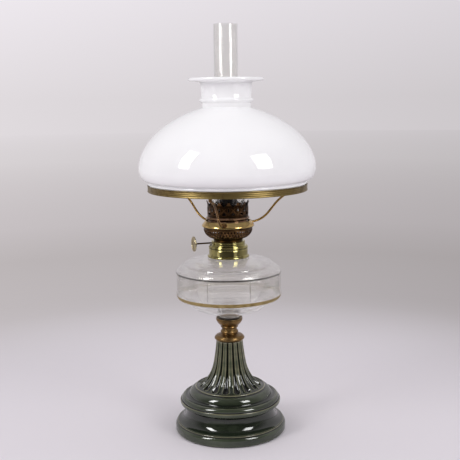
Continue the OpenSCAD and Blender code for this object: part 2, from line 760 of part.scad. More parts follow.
module gallery_crown() {
    arc_w = crown_r * crown_pitch * PI / 180;
    color("#3d2c1e") difference() {
        turned(concat(
            [[crown_r - crown_wall, gallery_top_z], [crown_r, gallery_top_z], [crown_r, crown_flare_z]],
            curve([crown_r + 0.1, crown_flare_z + 1.5], [crown_r + 0.3, crown_flare_z + 4],
                [crown_r + 1, crown_flare_z + 5.6], [crown_tip_d / 2, crown_top_z - 0.4], 3),
            [[crown_tip_d / 2 - 0.5, crown_top_z]],
            curve([crown_r + 0.2, crown_top_z - 1], [crown_r - 0.2, crown_flare_z + 4.6],
                [crown_r - 0.5, crown_flare_z + 3], [crown_r - crown_wall, crown_flare_z], 3)
        ));
        around(crown_points, crown_front) {
            translate([0, 0, crown_flare_z - 4.4]) crown_cut() lens(2.2, 6);
        }
        around(crown_points, crown_front + crown_pitch / 2) {
            translate([0, 0, gallery_top_z + 4]) crown_cut() {
                translate([-2.2, 0]) square([4.4, 2.6]);
                translate([0, 2.6]) circle(r = 2.2, $fn = 32);
            }
            translate([0, 0, crown_flare_z + 3.4]) crown_cut() {
                circle(r = arc_w * 0.27, $fn = 32);
                translate([-arc_w * 0.2, 0]) square([arc_w * 0.4, 8]);
            }
        }
    }
}

spring_t = 0.4;
spring_h = 17;
spring_foot_h = 2.6;
spring_bow_h = 9;
spring_bow_w = 3;

module gallery_springs() {
    foot_r = crown_r - crown_wall;
    bow_r = chimney_foot_d / 2 + 0.3;
    tip_r = foot_r - 1.2;
    foot_z = gallery_top_z + 0.2;
    bow_z = gallery_top_z + spring_bow_h;
    tip_z = gallery_top_z + spring_h;
    color("#8f6b3a") around(spring_count, 45) rotate([0, 0, -6]) rotate_extrude(angle = 12) polygon([
        [foot_r, foot_z],
        [foot_r, gallery_top_z + spring_foot_h],
        [bow_r + spring_t, bow_z],
        [bow_r + spring_t, bow_z + spring_bow_w],
        [tip_r + spring_t, tip_z],
        [tip_r, tip_z],
        [bow_r, bow_z + spring_bow_w],
        [bow_r, bow_z],
        [foot_r - spring_t, gallery_top_z + spring_foot_h],
        [foot_r - spring_t, foot_z]
    ]);
}

// Chimney: thin clear glass, wide at the foot and drawn in above the flame
function chimney_curve(inset) = concat(
    [[chimney_foot_d / 2 - inset, chimney_z], [chimney_foot_d / 2 - inset, chimney_z + chimney_foot_h - 1]],
    curve([chimney_foot_d / 2 - inset, chimney_z + chimney_foot_h],
        [chimney_foot_d / 2 - inset, chimney_z + chimney_foot_h + 10],
        [chimney_tube_d / 2 - inset, chimney_z + chimney_foot_h + 7],
        [chimney_tube_d / 2 - inset, chimney_z + chimney_foot_h + 20], 10),
    [[chimney_tube_d / 2 - inset, chimney_z + chimney_h]]
);

module chimney() {
    color("#e4ebec", 0.3) turned(concat(chimney_curve(0), backwards(chimney_curve(chimney_glass))));
}

// Shade holder: a conical hub, three bent arms riveted to it and a ledged ring
hub_r = hub_d / 2;
hub_wall = 1;
hub_edge_z = hub_z + 1.6;
hub_slope = atan2(hub_h - 1.6, hub_r - hub_bore_d / 2 - 0.9);
lug_t = 1.2;
lug_r = 4.2;
lug_side = 1.8;
rivet_r = 1;
rivet_side = 3.6;
lug_mid = [(hub_r + hub_bore_d / 2 + 0.9) / 2, (hub_edge_z + hub_z + hub_h) / 2];

module hub_blank() {
    turned([
        [hub_bore_d / 2, hub_z],
        [hub_r - 1, hub_z],
        [hub_r - 0.3, hub_z + 0.3],
        [hub_r, hub_z + 0.9],
        [hub_r, hub_edge_z],
        [hub_bore_d / 2 + 0.9, hub_z + hub_h],
        [hub_bore_d / 2, hub_z + hub_h]
    ]);
}

// The direction out of the hub's cone at an arm, with z along a rivet
module at_lug() {
    translate([lug_mid[0], 0, lug_mid[1]]) rotate([0, hub_slope, 0]) children();
}

module on_arms() {
    around(3, -90 - arm_turn) children();
}

module holder_hub() {
    color("#b9934b") difference() {
        hub_blank();
        turned([
            [hub_bore_d / 2 - 1, hub_z - cut],
            [hub_bore_d / 2 + 1.5, hub_z - cut],
            [hub_bore_d / 2 + 1.5, hub_z + hub_wall],
            [hub_r - 1.7, hub_z + hub_wall],
            [hub_r - 1.5, hub_edge_z],
            [hub_bore_d / 2, hub_z + hub_h - 1.2],
            [hub_bore_d / 2 - 1, hub_z + hub_h - 1.2]
        ]);
        on_arms() at_lug() translate([0, rivet_side, -2]) cylinder(r = rivet_r, h = 3);
    }
}

// An arm bends up from the hub, runs straight and bends out again under the ring
arm_start = [hub_r - 1.7, hub_z + 4.2];
arm_dip = 4;
arm_steep = 49;
arm_level = 10;
lower_bend = 40.9;
arm_straight = 13;
lower_end = arm_start + lower_bend * [sin(arm_steep) - sin(arm_dip), cos(arm_dip) - cos(arm_steep)];
upper_start = lower_end + arm_straight * [cos(arm_steep), sin(arm_steep)];
ledge_mid = ring_d / 2 - ring_wall - ledge_w / 2;
pad_r = arm_d / 2 + 1;
pad_drop = arm_d / 2 + 0.8;
upper_bend = (ledge_mid - upper_start[0]) / (sin(arm_steep) - sin(arm_level));
upper_end = upper_start + upper_bend * [sin(arm_steep) - sin(arm_level), cos(arm_level) - cos(arm_steep)];

// A rod bent to radius r through an angle, which starts at the origin along z and turns towards x
module bend(r, angle) {
    translate([r, 0, 0]) rotate([90, 0, 0]) mirror([1, 0, 0])
        rotate_extrude(angle = angle) translate([r, 0]) circle(r = arm_d / 2, $fn = 32);
}

module arm_rod() {
    translate([lower_end[0], 0, lower_end[1]]) rotate([0, 90 - arm_steep, 0]) {
        rotate([0, 180, 0]) bend(lower_bend, arm_steep - arm_dip);
        cylinder(r = arm_d / 2, h = arm_straight, $fn = 32);
        translate([0, 0, arm_straight]) bend(upper_bend, arm_steep - arm_level);
    }
}

module holder_arm() {
    color("#9c7a40") difference() {
        union() {
            at_lug() translate([0, lug_side, -lug_t / 2]) cylinder(r = lug_r, h = 1.5 * lug_t);
            arm_rod();
            translate([upper_end[0], 0, upper_end[1] - pad_drop])
                cylinder(r = pad_r, h = holder_ring_z - upper_end[1] + pad_drop);
        }
        hub_blank();
        translate([0, 0, holder_ring_z]) cylinder(r = ring_d, h = 20);
        at_lug() translate([0, rivet_side, -1]) cylinder(r = rivet_r, h = 3 + lug_t);
    }
}

module holder_arm_front() {
    rotate([0, 0, -90 - arm_turn]) holder_arm();
}

module holder_arm_right() {
    rotate([0, 0, 30 - arm_turn]) holder_arm();
}

module holder_arm_left() {
    rotate([0, 0, 150 - arm_turn]) holder_arm();
}

module arm_rivets() {
    color("#6b5230") on_arms() at_lug() translate([0, rivet_side, 0]) {
        translate([0, 0, -1]) cylinder(r = rivet_r, h = 1 + lug_t);
        translate([0, 0, lug_t]) cylinder(r1 = rivet_r + 0.9, r2 = rivet_r + 0.2, h = 0.8);
    }
}

module holder_ring() {
    r = ring_d / 2;
    top = holder_ring_z + ring_h;
    color("#a9853f") turned([
        [r - ring_wall - ledge_w, holder_ring_z],
        [r - 0.9, holder_ring_z],
        [r, holder_ring_z + 0.9],
        [r, holder_ring_z + 2.2],
        [r - 0.5, holder_ring_z + 2.9],
        [r - 0.5, top - 2.6],
        [r, top - 1.9],
        [r, top - 0.7],
        [r - 0.7, top],
        [r - ring_wall, top],
        [r - ring_wall, holder_ring_z + ring_wall],
        [r - ring_wall - ledge_w, holder_ring_z + ring_wall]
    ]);
}

// Shade: blown opal glass with an upright foot, a dome, a beaded neck and a flange
shade_neck_z = shade_z + shade_dome_h;
shade_top_z = shade_neck_z + shade_neck_h + 8;
belly_z = shade_z + shade_belly_z;

function shade_curve(inset) = concat(
    [[shade_foot_d / 2 - inset, shade_z]],
    curve([shade_foot_d / 2 - inset, shade_z + shade_foot_h + inset],
        [shade_foot_d / 2 + 8.8 - inset, shade_z + shade_foot_h + 2 + inset],
        [shade_d / 2 - inset, belly_z - 10], [shade_d / 2 - inset, belly_z], 6),
    curve([shade_d / 2 - inset, belly_z + 1], [shade_d / 2 - inset, belly_z + 35],
        [shade_d / 2 - 32.7 - inset / 2, shade_neck_z - 19 - inset / 2],
        [shade_neck_d / 2 - 0.8 - inset / 2, shade_neck_z - inset], 12)
);

shade_bead_r = 3;

module shade() {
    neck_r = shade_neck_d / 2;
    flange_r = shade_flange_d / 2;
    flange_lift = shade_neck_z + shade_neck_h;
    color("#f6f7fb") turned(concat(
        shade_curve(0),
        [[neck_r - 0.8, shade_neck_z + 6.4]],
        arc(neck_r, shade_neck_z + 10.3, shade_bead_r, -80, 80, 8),
        [[neck_r, shade_neck_z + 14.6], [neck_r, flange_lift], [neck_r + 1.6, flange_lift + 2.8]],
        [[flange_r - 1.4, flange_lift + 6], [flange_r, flange_lift + 7], [flange_r - 0.8, shade_top_z]],
        [[neck_r + 2, flange_lift + 5.8], [neck_r - opal_glass + 1, flange_lift + 3.4]],
        [[neck_r - opal_glass, flange_lift], [neck_r - opal_glass, shade_neck_z + 1]],
        backwards(shade_curve(opal_glass))
    ));
}

foot();
column_plaster();
column_collar();
connector_stud();
font_cup();
cup_plaster();
font();
font_collar();
collar_plaster();
burner_gasket();
burner_base();
wick_tube();
draught_tube();
wick();
wheel_box();
wick_wheels();
wick_spindle();
wick_knob();
burner_bowl();
burner_deck();
gallery_base();
gallery_crown();
gallery_springs();
chimney();
holder_hub();
holder_arm_front();
holder_arm_left();
holder_arm_right();
arm_rivets();
holder_ring();
shade();
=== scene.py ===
# Kerosene table lamp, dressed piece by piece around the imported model.
import json
import math
import bpy
import bmesh
import numpy as np
from mathutils import Matrix, Vector


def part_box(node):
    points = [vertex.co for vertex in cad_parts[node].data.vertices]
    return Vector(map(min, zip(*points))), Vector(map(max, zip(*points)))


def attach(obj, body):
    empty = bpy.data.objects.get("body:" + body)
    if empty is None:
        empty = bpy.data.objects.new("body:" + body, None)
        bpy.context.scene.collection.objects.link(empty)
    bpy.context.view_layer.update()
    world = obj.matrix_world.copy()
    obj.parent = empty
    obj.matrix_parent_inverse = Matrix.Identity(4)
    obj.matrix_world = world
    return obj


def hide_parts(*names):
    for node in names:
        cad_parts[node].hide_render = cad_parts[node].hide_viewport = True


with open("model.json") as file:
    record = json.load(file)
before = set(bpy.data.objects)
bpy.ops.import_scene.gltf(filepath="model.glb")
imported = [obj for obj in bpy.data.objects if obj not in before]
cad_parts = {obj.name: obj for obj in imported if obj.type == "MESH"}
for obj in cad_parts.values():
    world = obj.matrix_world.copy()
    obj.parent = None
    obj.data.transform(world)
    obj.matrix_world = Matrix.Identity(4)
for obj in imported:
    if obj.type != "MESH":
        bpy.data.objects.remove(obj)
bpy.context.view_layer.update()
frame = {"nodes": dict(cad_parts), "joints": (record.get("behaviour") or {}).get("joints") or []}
scene = bpy.context.scene
scene.view_settings.view_transform = "Standard"

# Camera: the photograph looks slightly down on the lamp from the front, through a long lens.
# Its place, tilt and lens were worked out from the lamp's outline.
camera = bpy.data.objects.new("camera", bpy.data.cameras.new("camera"))
camera.data.lens = 66.5
camera.data.sensor_width = 36
camera.data.clip_start = 0.05
tilt = Matrix.Rotation(math.radians(-0.13), 4, "Z") @ Matrix.Rotation(math.radians(90 - 8.81), 4, "X")
camera.matrix_world = Matrix.Translation((0, -1.272, 0.51)) @ tilt @ Matrix.Rotation(math.radians(-0.75), 4, "Z")
scene.collection.objects.link(camera)
scene.camera = camera


# Light: two tall soft boxes stand in front of the lamp, left and right, in a pale studio. Each is two
# lamps in one line: one lights the surfaces, and one just before it is its image in glass and glaze.
def soft_box(name, turn, rise, width, height, light, shine):
    """A soft box seen from the lamp at an angle from the front and a height angle, in degrees."""
    turn, rise = math.radians(turn), math.radians(rise)
    toward = Vector((math.sin(turn) * math.cos(rise), -math.cos(turn) * math.cos(rise), math.sin(rise)))
    for part, watts, distance in (("light", light, 1.8), ("shine", shine, 1.7)):
        data = bpy.data.lights.new(name + "_" + part, "AREA")
        data.shape = "RECTANGLE"
        data.size = width
        data.size_y = height
        data.energy = watts
        box = bpy.data.objects.new(name + "_" + part, data)
        box.rotation_euler = toward.to_track_quat("Z", "Y").to_euler()
        box.location = toward * distance + Vector((0, 0, 0.42))
        box.visible_glossy = part == "shine"
        box.visible_diffuse = part == "light"
        box.visible_transmission = part == "light"
        scene.collection.objects.link(box)


soft_box("soft_box_left", -56, 31, 0.42, 1.10, 9.2, 26.0)
soft_box("soft_box_right", 48, 27, 0.60, 0.95, 7.5, 24.0)


def to_linear(code):
    """An sRGB hex colour as linear red, green, blue and alpha."""
    parts = [int(code[i:i + 2], 16) / 255 for i in (1, 3, 5)]
    return [c / 12.92 if c <= 0.04045 else ((c + 0.055) / 1.055) ** 2.4 for c in parts] + [1]


def add(tree, kind, settings=None, inputs=None):
    """A new node in a tree. An input's value is a number, a colour or another node's output."""
    node = tree.nodes.new(kind)
    for name, value in (settings or {}).items():
        setattr(node, name, value)
    for name, value in (inputs or {}).items():
        if isinstance(value, bpy.types.NodeSocket):
            tree.links.new(value, node.inputs[name])
        else:
            node.inputs[name].default_value = value
    return node


def colour_ramp(tree, factor, stops):
    """The colours that a number picks, from a list of (position, hex colour)."""
    node = add(tree, "ShaderNodeValToRGB", None, {"Fac": factor})
    while len(node.color_ramp.elements) < len(stops):
        node.color_ramp.elements.new(1.0)
    for element, (position, code) in zip(node.color_ramp.elements, stops):
        element.position = position
        element.color = to_linear(code)
    return node.outputs["Color"]


# Studio: a pale backdrop that darkens to the right, in a room that is darker to the sides and behind
# the camera. Glass that bends a ray far, at an edge, shows the room as a thin grey line.
world = bpy.data.worlds.new("studio")
world.use_nodes = True
scene.world = world
sky = world.node_tree
sky.nodes.clear()
toward = add(sky, "ShaderNodeSeparateXYZ", None, {0: add(sky, "ShaderNodeTexCoord").outputs["Generated"]})
height = colour_ramp(sky, toward.outputs["Z"], [(0.0, "#d8d3d6"), (0.11, "#e6e1e6"), (0.3, "#eae5ea")])
side = add(sky, "ShaderNodeMapRange", None, {
    "Value": toward.outputs["X"], "From Min": -0.4, "From Max": 0.4, "To Min": 1.13, "To Max": 0.85})
backdrop = add(sky, "ShaderNodeVectorMath", {"operation": "SCALE"}, {0: height, "Scale": side.outputs[0]}).outputs[0]
depth = add(sky, "ShaderNodeMapRange", None, {"Value": toward.outputs["Y"], "From Min": -1.0, "From Max": 1.0})
room = colour_ramp(sky, depth.outputs[0], [(0.1, "#2e2a2b"), (0.38, "#6d6769"), (0.62, "#d2cdd1")])
bent = add(sky, "ShaderNodeMapRange", None, {
    "Value": depth.outputs[0], "From Min": 0.5, "From Max": 0.94, "To Min": 0.62, "To Max": 1.0})
through = add(sky, "ShaderNodeVectorMath", {"operation": "SCALE"}, {0: backdrop, "Scale": bent.outputs[0]})
path = add(sky, "ShaderNodeLightPath")
seen = to_linear("#d7d5d8")
for ray, view in (("Is Glossy Ray", room), ("Is Transmission Ray", through.outputs[0]), ("Is Camera Ray", backdrop)):
    seen = add(sky, "ShaderNodeMix", {"data_type": "RGBA"}, {
        "Factor": path.outputs[ray], 6: seen, 7: view}).outputs[2]
glow = add(sky, "ShaderNodeBackground", None, {"Color": seen, "Strength": 1.0})
add(sky, "ShaderNodeOutputWorld", None, {"Surface": glow.outputs[0]})

# Floor: a sheet of pale paper that takes the lamp's shadow and runs on into the backdrop behind it.
FLOOR_R = 12.0
floor_shape = bmesh.new()
bmesh.ops.create_circle(floor_shape, cap_ends=True, radius=FLOOR_R, segments=96)
floor = bpy.data.objects.new("floor", bpy.data.meshes.new("floor"))
floor_shape.to_mesh(floor.data)
floor_shape.free()
scene.collection.objects.link(floor)
paper = bpy.data.materials.new("backdrop_paper")
paper.use_nodes = True
tree = paper.node_tree
tree.nodes.clear()
reach = add(tree, "ShaderNodeVectorMath", {"operation": "LENGTH"}, {
    0: add(tree, "ShaderNodeTexCoord").outputs["Object"]}).outputs["Value"]
fade = add(tree, "ShaderNodeMapRange", {"interpolation_type": "SMOOTHSTEP"}, {
    "Value": reach, "From Min": 0.3, "From Max": 1.0})
path = add(tree, "ShaderNodeLightPath")
straight = add(tree, "ShaderNodeMath", {"operation": "MAXIMUM"}, {
    0: path.outputs["Is Camera Ray"], 1: path.outputs["Is Transmission Ray"]})
shown = add(tree, "ShaderNodeMath", {"operation": "MAXIMUM"}, {
    0: straight.outputs[0], 1: path.outputs["Is Glossy Ray"]})
blend = add(tree, "ShaderNodeMath", {"operation": "MULTIPLY"}, {0: fade.outputs[0], 1: shown.outputs[0]})
# Past the lit middle the floor glows as the backdrop, with painted shade: darker in a ring from about 0.8 to 1.6 m out,
# and darker to the right.
share = add(tree, "ShaderNodeMath", {"operation": "DIVIDE"}, {0: reach, 1: FLOOR_R})
far = colour_ramp(tree, share.outputs[0], [
    (0.03, "#d0cbd0"), (0.07, "#bab4b6"), (0.13, "#b6b0b1"), (0.19, "#c0babc"), (0.5, "#d0cbcd"), (1.0, "#d8d3d6")])
across = add(tree, "ShaderNodeSeparateXYZ", None, {0: add(tree, "ShaderNodeTexCoord").outputs["Object"]}).outputs["X"]
side = add(tree, "ShaderNodeMath", {"operation": "DIVIDE"}, {
    0: across, 1: add(tree, "ShaderNodeMath", {"operation": "ADD"}, {0: reach, 1: 1.27}).outputs[0]})
shade_side = add(tree, "ShaderNodeMapRange", None, {
    "Value": side.outputs[0], "From Min": -0.4, "From Max": 0.4, "To Min": 1.13, "To Max": 0.8})
far = add(tree, "ShaderNodeVectorMath", {"operation": "SCALE"}, {0: far, "Scale": shade_side.outputs[0]}).outputs[0]
# For glossy rays the floor is a painted reflection: dark in front of the lamp, with two painted pale strips below the
# soft boxes that brass shows as painted highlights.
way = add(tree, "ShaderNodeVectorMath", {"operation": "NORMALIZE"}, {
    0: add(tree, "ShaderNodeTexCoord").outputs["Object"]}).outputs[0]
painted_glossy_glow = add(tree, "ShaderNodeMapRange", None, {
    "Value": add(tree, "ShaderNodeSeparateXYZ", None, {0: way}).outputs["Y"], "From Min": -0.9, "From Max": 0.2,
    "To Min": 0.16}).outputs[0]
for turn, pale in ((-62, 1.5), (42, 1.3)):
    toward_box = (math.sin(math.radians(turn)), -math.cos(math.radians(turn)), 0)
    facing = add(tree, "ShaderNodeVectorMath", {"operation": "DOT_PRODUCT"}, {0: way, 1: toward_box})
    painted_strip = add(tree, "ShaderNodeMapRange", None, {
        "Value": facing.outputs["Value"], "From Min": math.cos(math.radians(12)), "From Max": math.cos(math.radians(6)),
        "To Max": pale})
    painted_glossy_glow = add(tree, "ShaderNodeMath", {"operation": "MAXIMUM"}, {0: painted_glossy_glow, 1: painted_strip.outputs[0]}).outputs[0]
for_metal = add(tree, "ShaderNodeMix", None, {"Factor": path.outputs["Is Glossy Ray"], 2: 1.0, 3: painted_glossy_glow}).outputs[0]
far = add(tree, "ShaderNodeVectorMath", {"operation": "SCALE"}, {0: far, "Scale": for_metal}).outputs[0]
matt = add(tree, "ShaderNodeBsdfDiffuse", None, {"Color": to_linear("#e3dee3")})
glow = add(tree, "ShaderNodeEmission", None, {"Color": far, "Strength": 1.0})
mixed = add(tree, "ShaderNodeMixShader", None, {0: blend.outputs[0], 1: matt.outputs[0], 2: glow.outputs[0]})
add(tree, "ShaderNodeOutputMaterial", None, {"Surface": mixed.outputs[0]})
floor.data.materials.append(paper)


# Foot: thick pottery cast hollow in a mould, with a fluted column, dipped in a green glaze and fired.
# The glaze runs in the kiln: it pools dark in every groove and pulls thin and pale off the edges.
# Sizes are millimetres, as (radius, height) pairs, up the outside and down the inside.
MM = 0.001


def span(node):
    """A piece's foot, top and greatest radius, in millimetres."""
    low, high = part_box(node)
    return low.z / MM, high.z / MM, (high.x - low.x) / 2 / MM


def bezier(p0, p1, p2, p3, count=8):
    """Points of a curve that leaves p0 towards p1 and reaches p3 from p2."""
    t = np.linspace(0, 1, count)[:, None]
    a, b, c, d = (np.array(p, float) for p in (p0, p1, p2, p3))
    return [tuple(p) for p in (1 - t) ** 3 * a + 3 * (1 - t) ** 2 * t * b + 3 * (1 - t) * t * t * c + t ** 3 * d]


def arc(x, z, r, start, end, count=6):
    """Points of an arc round (x, z), from one angle to another in degrees."""
    turns = np.radians(np.linspace(start, end, count))
    return [(x + r * math.cos(a), z + r * math.sin(a)) for a in turns]


def spaced(points, step):
    """The same outline with its points an even step apart."""
    line = np.array(points, float)
    runs = np.concatenate([[0], np.cumsum(np.linalg.norm(np.diff(line, axis=0), axis=1))])
    marks = np.linspace(0, runs[-1], max(2, round(runs[-1] / step) + 1))
    return np.stack([np.interp(marks, runs, line[:, 0]), np.interp(marks, runs, line[:, 1])], 1)


def loop_mesh(name, grid, whole_turn=False):
    """A mesh of a closed loop of rows, in metres. whole_turn closes each row round the axis too."""
    rows, columns, _ = grid.shape
    faces = []
    for i in range(rows):
        k = (i + 1) % rows
        for j in range(columns if whole_turn else columns - 1):
            m = (j + 1) % columns
            faces.append((i * columns + j, i * columns + m, k * columns + m, k * columns + j))
    mesh = bpy.data.meshes.new(name)
    mesh.from_pydata([tuple(p) for p in grid.reshape(-1, 3)], [], faces)
    return mesh


def at_angles(radii, heights, angles):
    """Points in metres for radii and heights in millimetres, at angles round the lamp's axis."""
    return np.stack([radii * np.cos(angles), radii * np.sin(angles), heights + 0 * angles], 2) * MM


def around(name, slice_mesh, count, finish):
    """Repeats a slice of a piece round the lamp's axis with Geometry Nodes, and welds the slices."""
    tree = bpy.data.node_groups.new(name + "_around", "GeometryNodeTree")
    face = tree.interface
    face.new_socket("Slice", in_out="INPUT", socket_type="NodeSocketGeometry")
    sockets = {key: face.new_socket(key, in_out="INPUT", socket_type=kind).identifier for key, kind in (
        ("Count", "NodeSocketInt"), ("Weld", "NodeSocketFloat"), ("Finish", "NodeSocketMaterial"))}
    face.new_socket("Piece", in_out="OUTPUT", socket_type="NodeSocketGeometry")
    given = add(tree, "NodeGroupInput").outputs
    step = add(tree, "ShaderNodeMath", {"operation": "DIVIDE"}, {0: 2 * math.pi, 1: given["Count"]})
    turn = add(tree, "ShaderNodeMath", {"operation": "MULTIPLY"}, {
        0: add(tree, "GeometryNodeInputIndex").outputs[0], 1: step.outputs[0]})
    axis = add(tree, "ShaderNodeCombineXYZ", None, {"Z": turn.outputs[0]})
    spots = add(tree, "GeometryNodePoints", None, {"Count": given["Count"]})
    copies = add(tree, "GeometryNodeInstanceOnPoints", None, {
        "Points": spots.outputs[0], "Instance": given["Slice"], "Rotation": axis.outputs[0]})
    real = add(tree, "GeometryNodeRealizeInstances", None, {"Geometry": copies.outputs[0]})
    welded = add(tree, "GeometryNodeMergeByDistance", None, {
        "Geometry": real.outputs[0], "Distance": given["Weld"]})
    dressed = add(tree, "GeometryNodeSetMaterial", None, {
        "Geometry": welded.outputs[0], "Material": given["Finish"]})
    add(tree, "NodeGroupOutput", None, {0: dressed.outputs[0]})
    piece = bpy.data.objects.new(name, slice_mesh)
    scene.collection.objects.link(piece)
    repeat = piece.modifiers.new("around", "NODES")
    repeat.node_group = tree
    repeat[sockets["Count"]] = count
    repeat[sockets["Weld"]] = 0.01 * MM
    repeat[sockets["Finish"]] = finish
    return settle(piece)


def settle(piece):
    """Turns a piece with modifiers into a plain mesh."""
    whole = bpy.data.meshes.new_from_object(piece.evaluated_get(bpy.context.evaluated_depsgraph_get()))
    piece.modifiers.clear()
    piece.data = whole
    return piece


def closed(piece):
    """Merges a closed shell's doubles, turns its faces outwards and shades it smooth up to sharp edges."""
    shape = bmesh.new()
    shape.from_mesh(piece.data)
    bmesh.ops.remove_doubles(shape, verts=shape.verts, dist=0.002 * MM)
    bmesh.ops.dissolve_degenerate(shape, edges=shape.edges, dist=0.001 * MM)
    bmesh.ops.recalc_face_normals(shape, faces=shape.faces)
    for each in shape.faces:
        each.smooth = True
    for edge in shape.edges:
        edge.smooth = len(edge.link_faces) != 2 or edge.calc_face_angle(0) < math.radians(40)
    shape.to_mesh(piece.data)
    shape.free()
    return piece


def dress(piece, body, slot, *nodes):
    """Makes a piece move with a body and stand for its CAD nodes."""
    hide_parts(*nodes)
    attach(piece, body)


foot_z, foot_top, foot_r = span("foot")
waist_r, waist_z = 68.0, 36.5
moulding_r, moulding_z = 77.7, 46.2
band_r, band_z = 63.4, 57.2
bead_r, bead_z = 53.0, 68.5
column_r = 20.3
wall = 6.0
FLUTES = 16
FLUTE_COLUMNS = 24

rim = [(foot_r - 3.5, foot_z)] + arc(foot_r - 3.6, 4.0, 3.6, -75, 0) + arc(foot_r - 5.4, 10.0, 5.4, 0, 58) + [
    (foot_r - 3.0, 15.0)] + arc(foot_r - 3.6, 15.8, 0.8, -30, 95, 5) + [(foot_r - 4.0, 16.7)]
cove = bezier((foot_r - 4.0, 17.3), (foot_r - 12, 18.6), (waist_r + 1.2, 22), (waist_r, waist_z), 20)
moulding = [(waist_r + 0.2, waist_z + 1.8), (waist_r + 1.2, waist_z + 3.2)] + bezier(
    (waist_r + 3.4, waist_z + 4.4), (waist_r + 6.8, waist_z + 5.6), (moulding_r, moulding_z - 2.8),
    (moulding_r, moulding_z), 9)
moulding += arc(moulding_r - 0.9, moulding_z + 2.4, 0.9, 0, 90, 4) + [(moulding_r - 2.3, moulding_z + 3.4)]
moulding += bezier((moulding_r - 2.5, moulding_z + 4.3), (moulding_r - 2.0, moulding_z + 6.6),
                   (moulding_r - 3.8, moulding_z + 8.4), (moulding_r - 5.4, moulding_z + 9.4), 9)
moulding += [(moulding_r - 6.2, moulding_z + 9.6), (moulding_r - 6.7, moulding_z + 9.3)]
band = bezier((band_r + 6.9, band_z - 1.4), (band_r + 4.4, band_z - 2.4), (band_r + 1.8, band_z - 1.8),
              (band_r + 0.3, band_z - 0.4), 8)
band += bezier((band_r, band_z + 0.6), (band_r - 0.4, band_z + 5.3), (band_r - 3.9, band_z + 9.0),
               (band_r - 7.8, band_z + 9.8), 16)
bead = [(bead_r + 1.7, bead_z - 1.2)] + arc(bead_r, bead_z + 0.1, 1.2, -30, 110, 6) + [(bead_r - 1.2, bead_z + 0.4)]
column = bezier((bead_r - 2.2, bead_z + 0.5), (bead_r - 13, bead_z + 4), (column_r + 9.7, bead_z + 15.5),
                (column_r + 4.9, bead_z + 36.5), 40) + bezier(
    (column_r + 4.3, bead_z + 40), (column_r + 2.6, bead_z + 50), (column_r + 0.7, foot_top - 12),
    (column_r, foot_top), 24)
socket_r = column_r - wall - 4.5
inside = [(socket_r, foot_top), (socket_r, foot_top - 14), (column_r - wall, foot_top - 14.3),
          (column_r + 4.3 - wall, bead_z + 38), (column_r + 14 - wall, bead_z + 12), (bead_r - 10, bead_z - 4.5),
          (band_r + 1.5 - wall, band_z - 1.2), (moulding_r - 7.5 - wall, moulding_z + 3), (waist_r - wall, waist_z),
          (waist_r + 1 - wall, 16.4), (foot_r - 1 - wall, 8.4), (foot_r - 2 - wall, foot_z)]
mouldings = rim + cove + moulding + band + bead
outside = np.concatenate([mouldings, spaced(column, 1.3)])
outline = np.concatenate([outside, spaced(inside, 8)])

# Each slice has a flute in its middle, narrow at the top and a wide rounded trough at its foot. The ribs
# between them are hollowed a little, and their edges stand up where the mould was cut.
half_slice = math.pi / FLUTES
turns = np.linspace(-half_slice, half_slice, FLUTE_COLUMNS + 1)
runs = np.concatenate([[0], np.cumsum(np.linalg.norm(np.diff(outline, axis=0), axis=1))])
radii, heights = outline[:, :1], outline[:, 1:]
first = len(mouldings) + 2
fluted = ((np.arange(len(outline)) >= first) & (np.arange(len(outline)) < len(outside)))[:, None]
rise = np.clip((heights - bead_z) / (foot_top - bead_z), 0, 1)
relief = np.zeros((len(outline), len(turns)))
for middle, depth, low_half, high_half in ((0, 2.6, 6.0, 4.0), (half_slice, 0.5, 2.3, 4.6)):
    half = radii * np.radians(low_half + (high_half - low_half) * np.clip(2.2 * rise, 0, 1))
    across = np.abs(np.abs(turns) - middle)[None, :] * radii
    past_end = np.maximum(0, half - (runs - runs[first])[:, None])
    share = np.hypot(across, past_end) / half
    relief -= depth * np.sqrt(np.maximum(0, 1 - share ** 2.4)) * fluted
    if middle == 0:
        relief += 0.45 * np.exp(-((share - 1.16) / 0.13) ** 2) * fluted * (1 - 0.85 * np.clip(2 * rise, 0, 1))
along = np.gradient(outline, axis=0)
along /= np.linalg.norm(along, axis=1)[:, None] + 1e-9
outward_r, outward_z = along[:, 1:], -along[:, :1]
foot_slice = loop_mesh("foot_slice", at_angles(
    radii + relief * outward_r, heights + relief * outward_z, turns[None, :] - math.radians(99)))

# The glaze lies thick where the outline is hollow and where a flute is deep, and thin on every edge
even = spaced(outline, 0.3)
kernel = np.exp(-(np.arange(-12, 13) * 0.3 / 0.9) ** 2)
blurred = np.stack([np.convolve(np.pad(even[:, k], 12, "edge"), kernel / kernel.sum(), "valid") for k in (0, 1)], 1)
tangent = np.gradient(even, axis=0)
tangent /= np.linalg.norm(tangent, axis=1)[:, None] + 1e-9
sunk = (blurred[:, 0] - even[:, 0]) * tangent[:, 1] - (blurred[:, 1] - even[:, 1]) * tangent[:, 0]
hollow = np.interp(runs, np.linspace(0, runs[-1], len(even)), sunk)[:, None]
# On the fluted column the glaze is also drawn thinner, so paler, towards the top: painted reflected light.
thickness = 0.55 + np.where(hollow < 0, 1.9, 2.6) * hollow - np.where(relief > 0, 0.9, 0.26) * relief - 0.3 * fluted * np.clip(2.5 * rise, 0, 1)
pooled = foot_slice.attributes.new("glaze", "FLOAT", "POINT")
pooled.data.foreach_set("value", np.clip(thickness, 0, 1).reshape(-1).astype(np.float32))


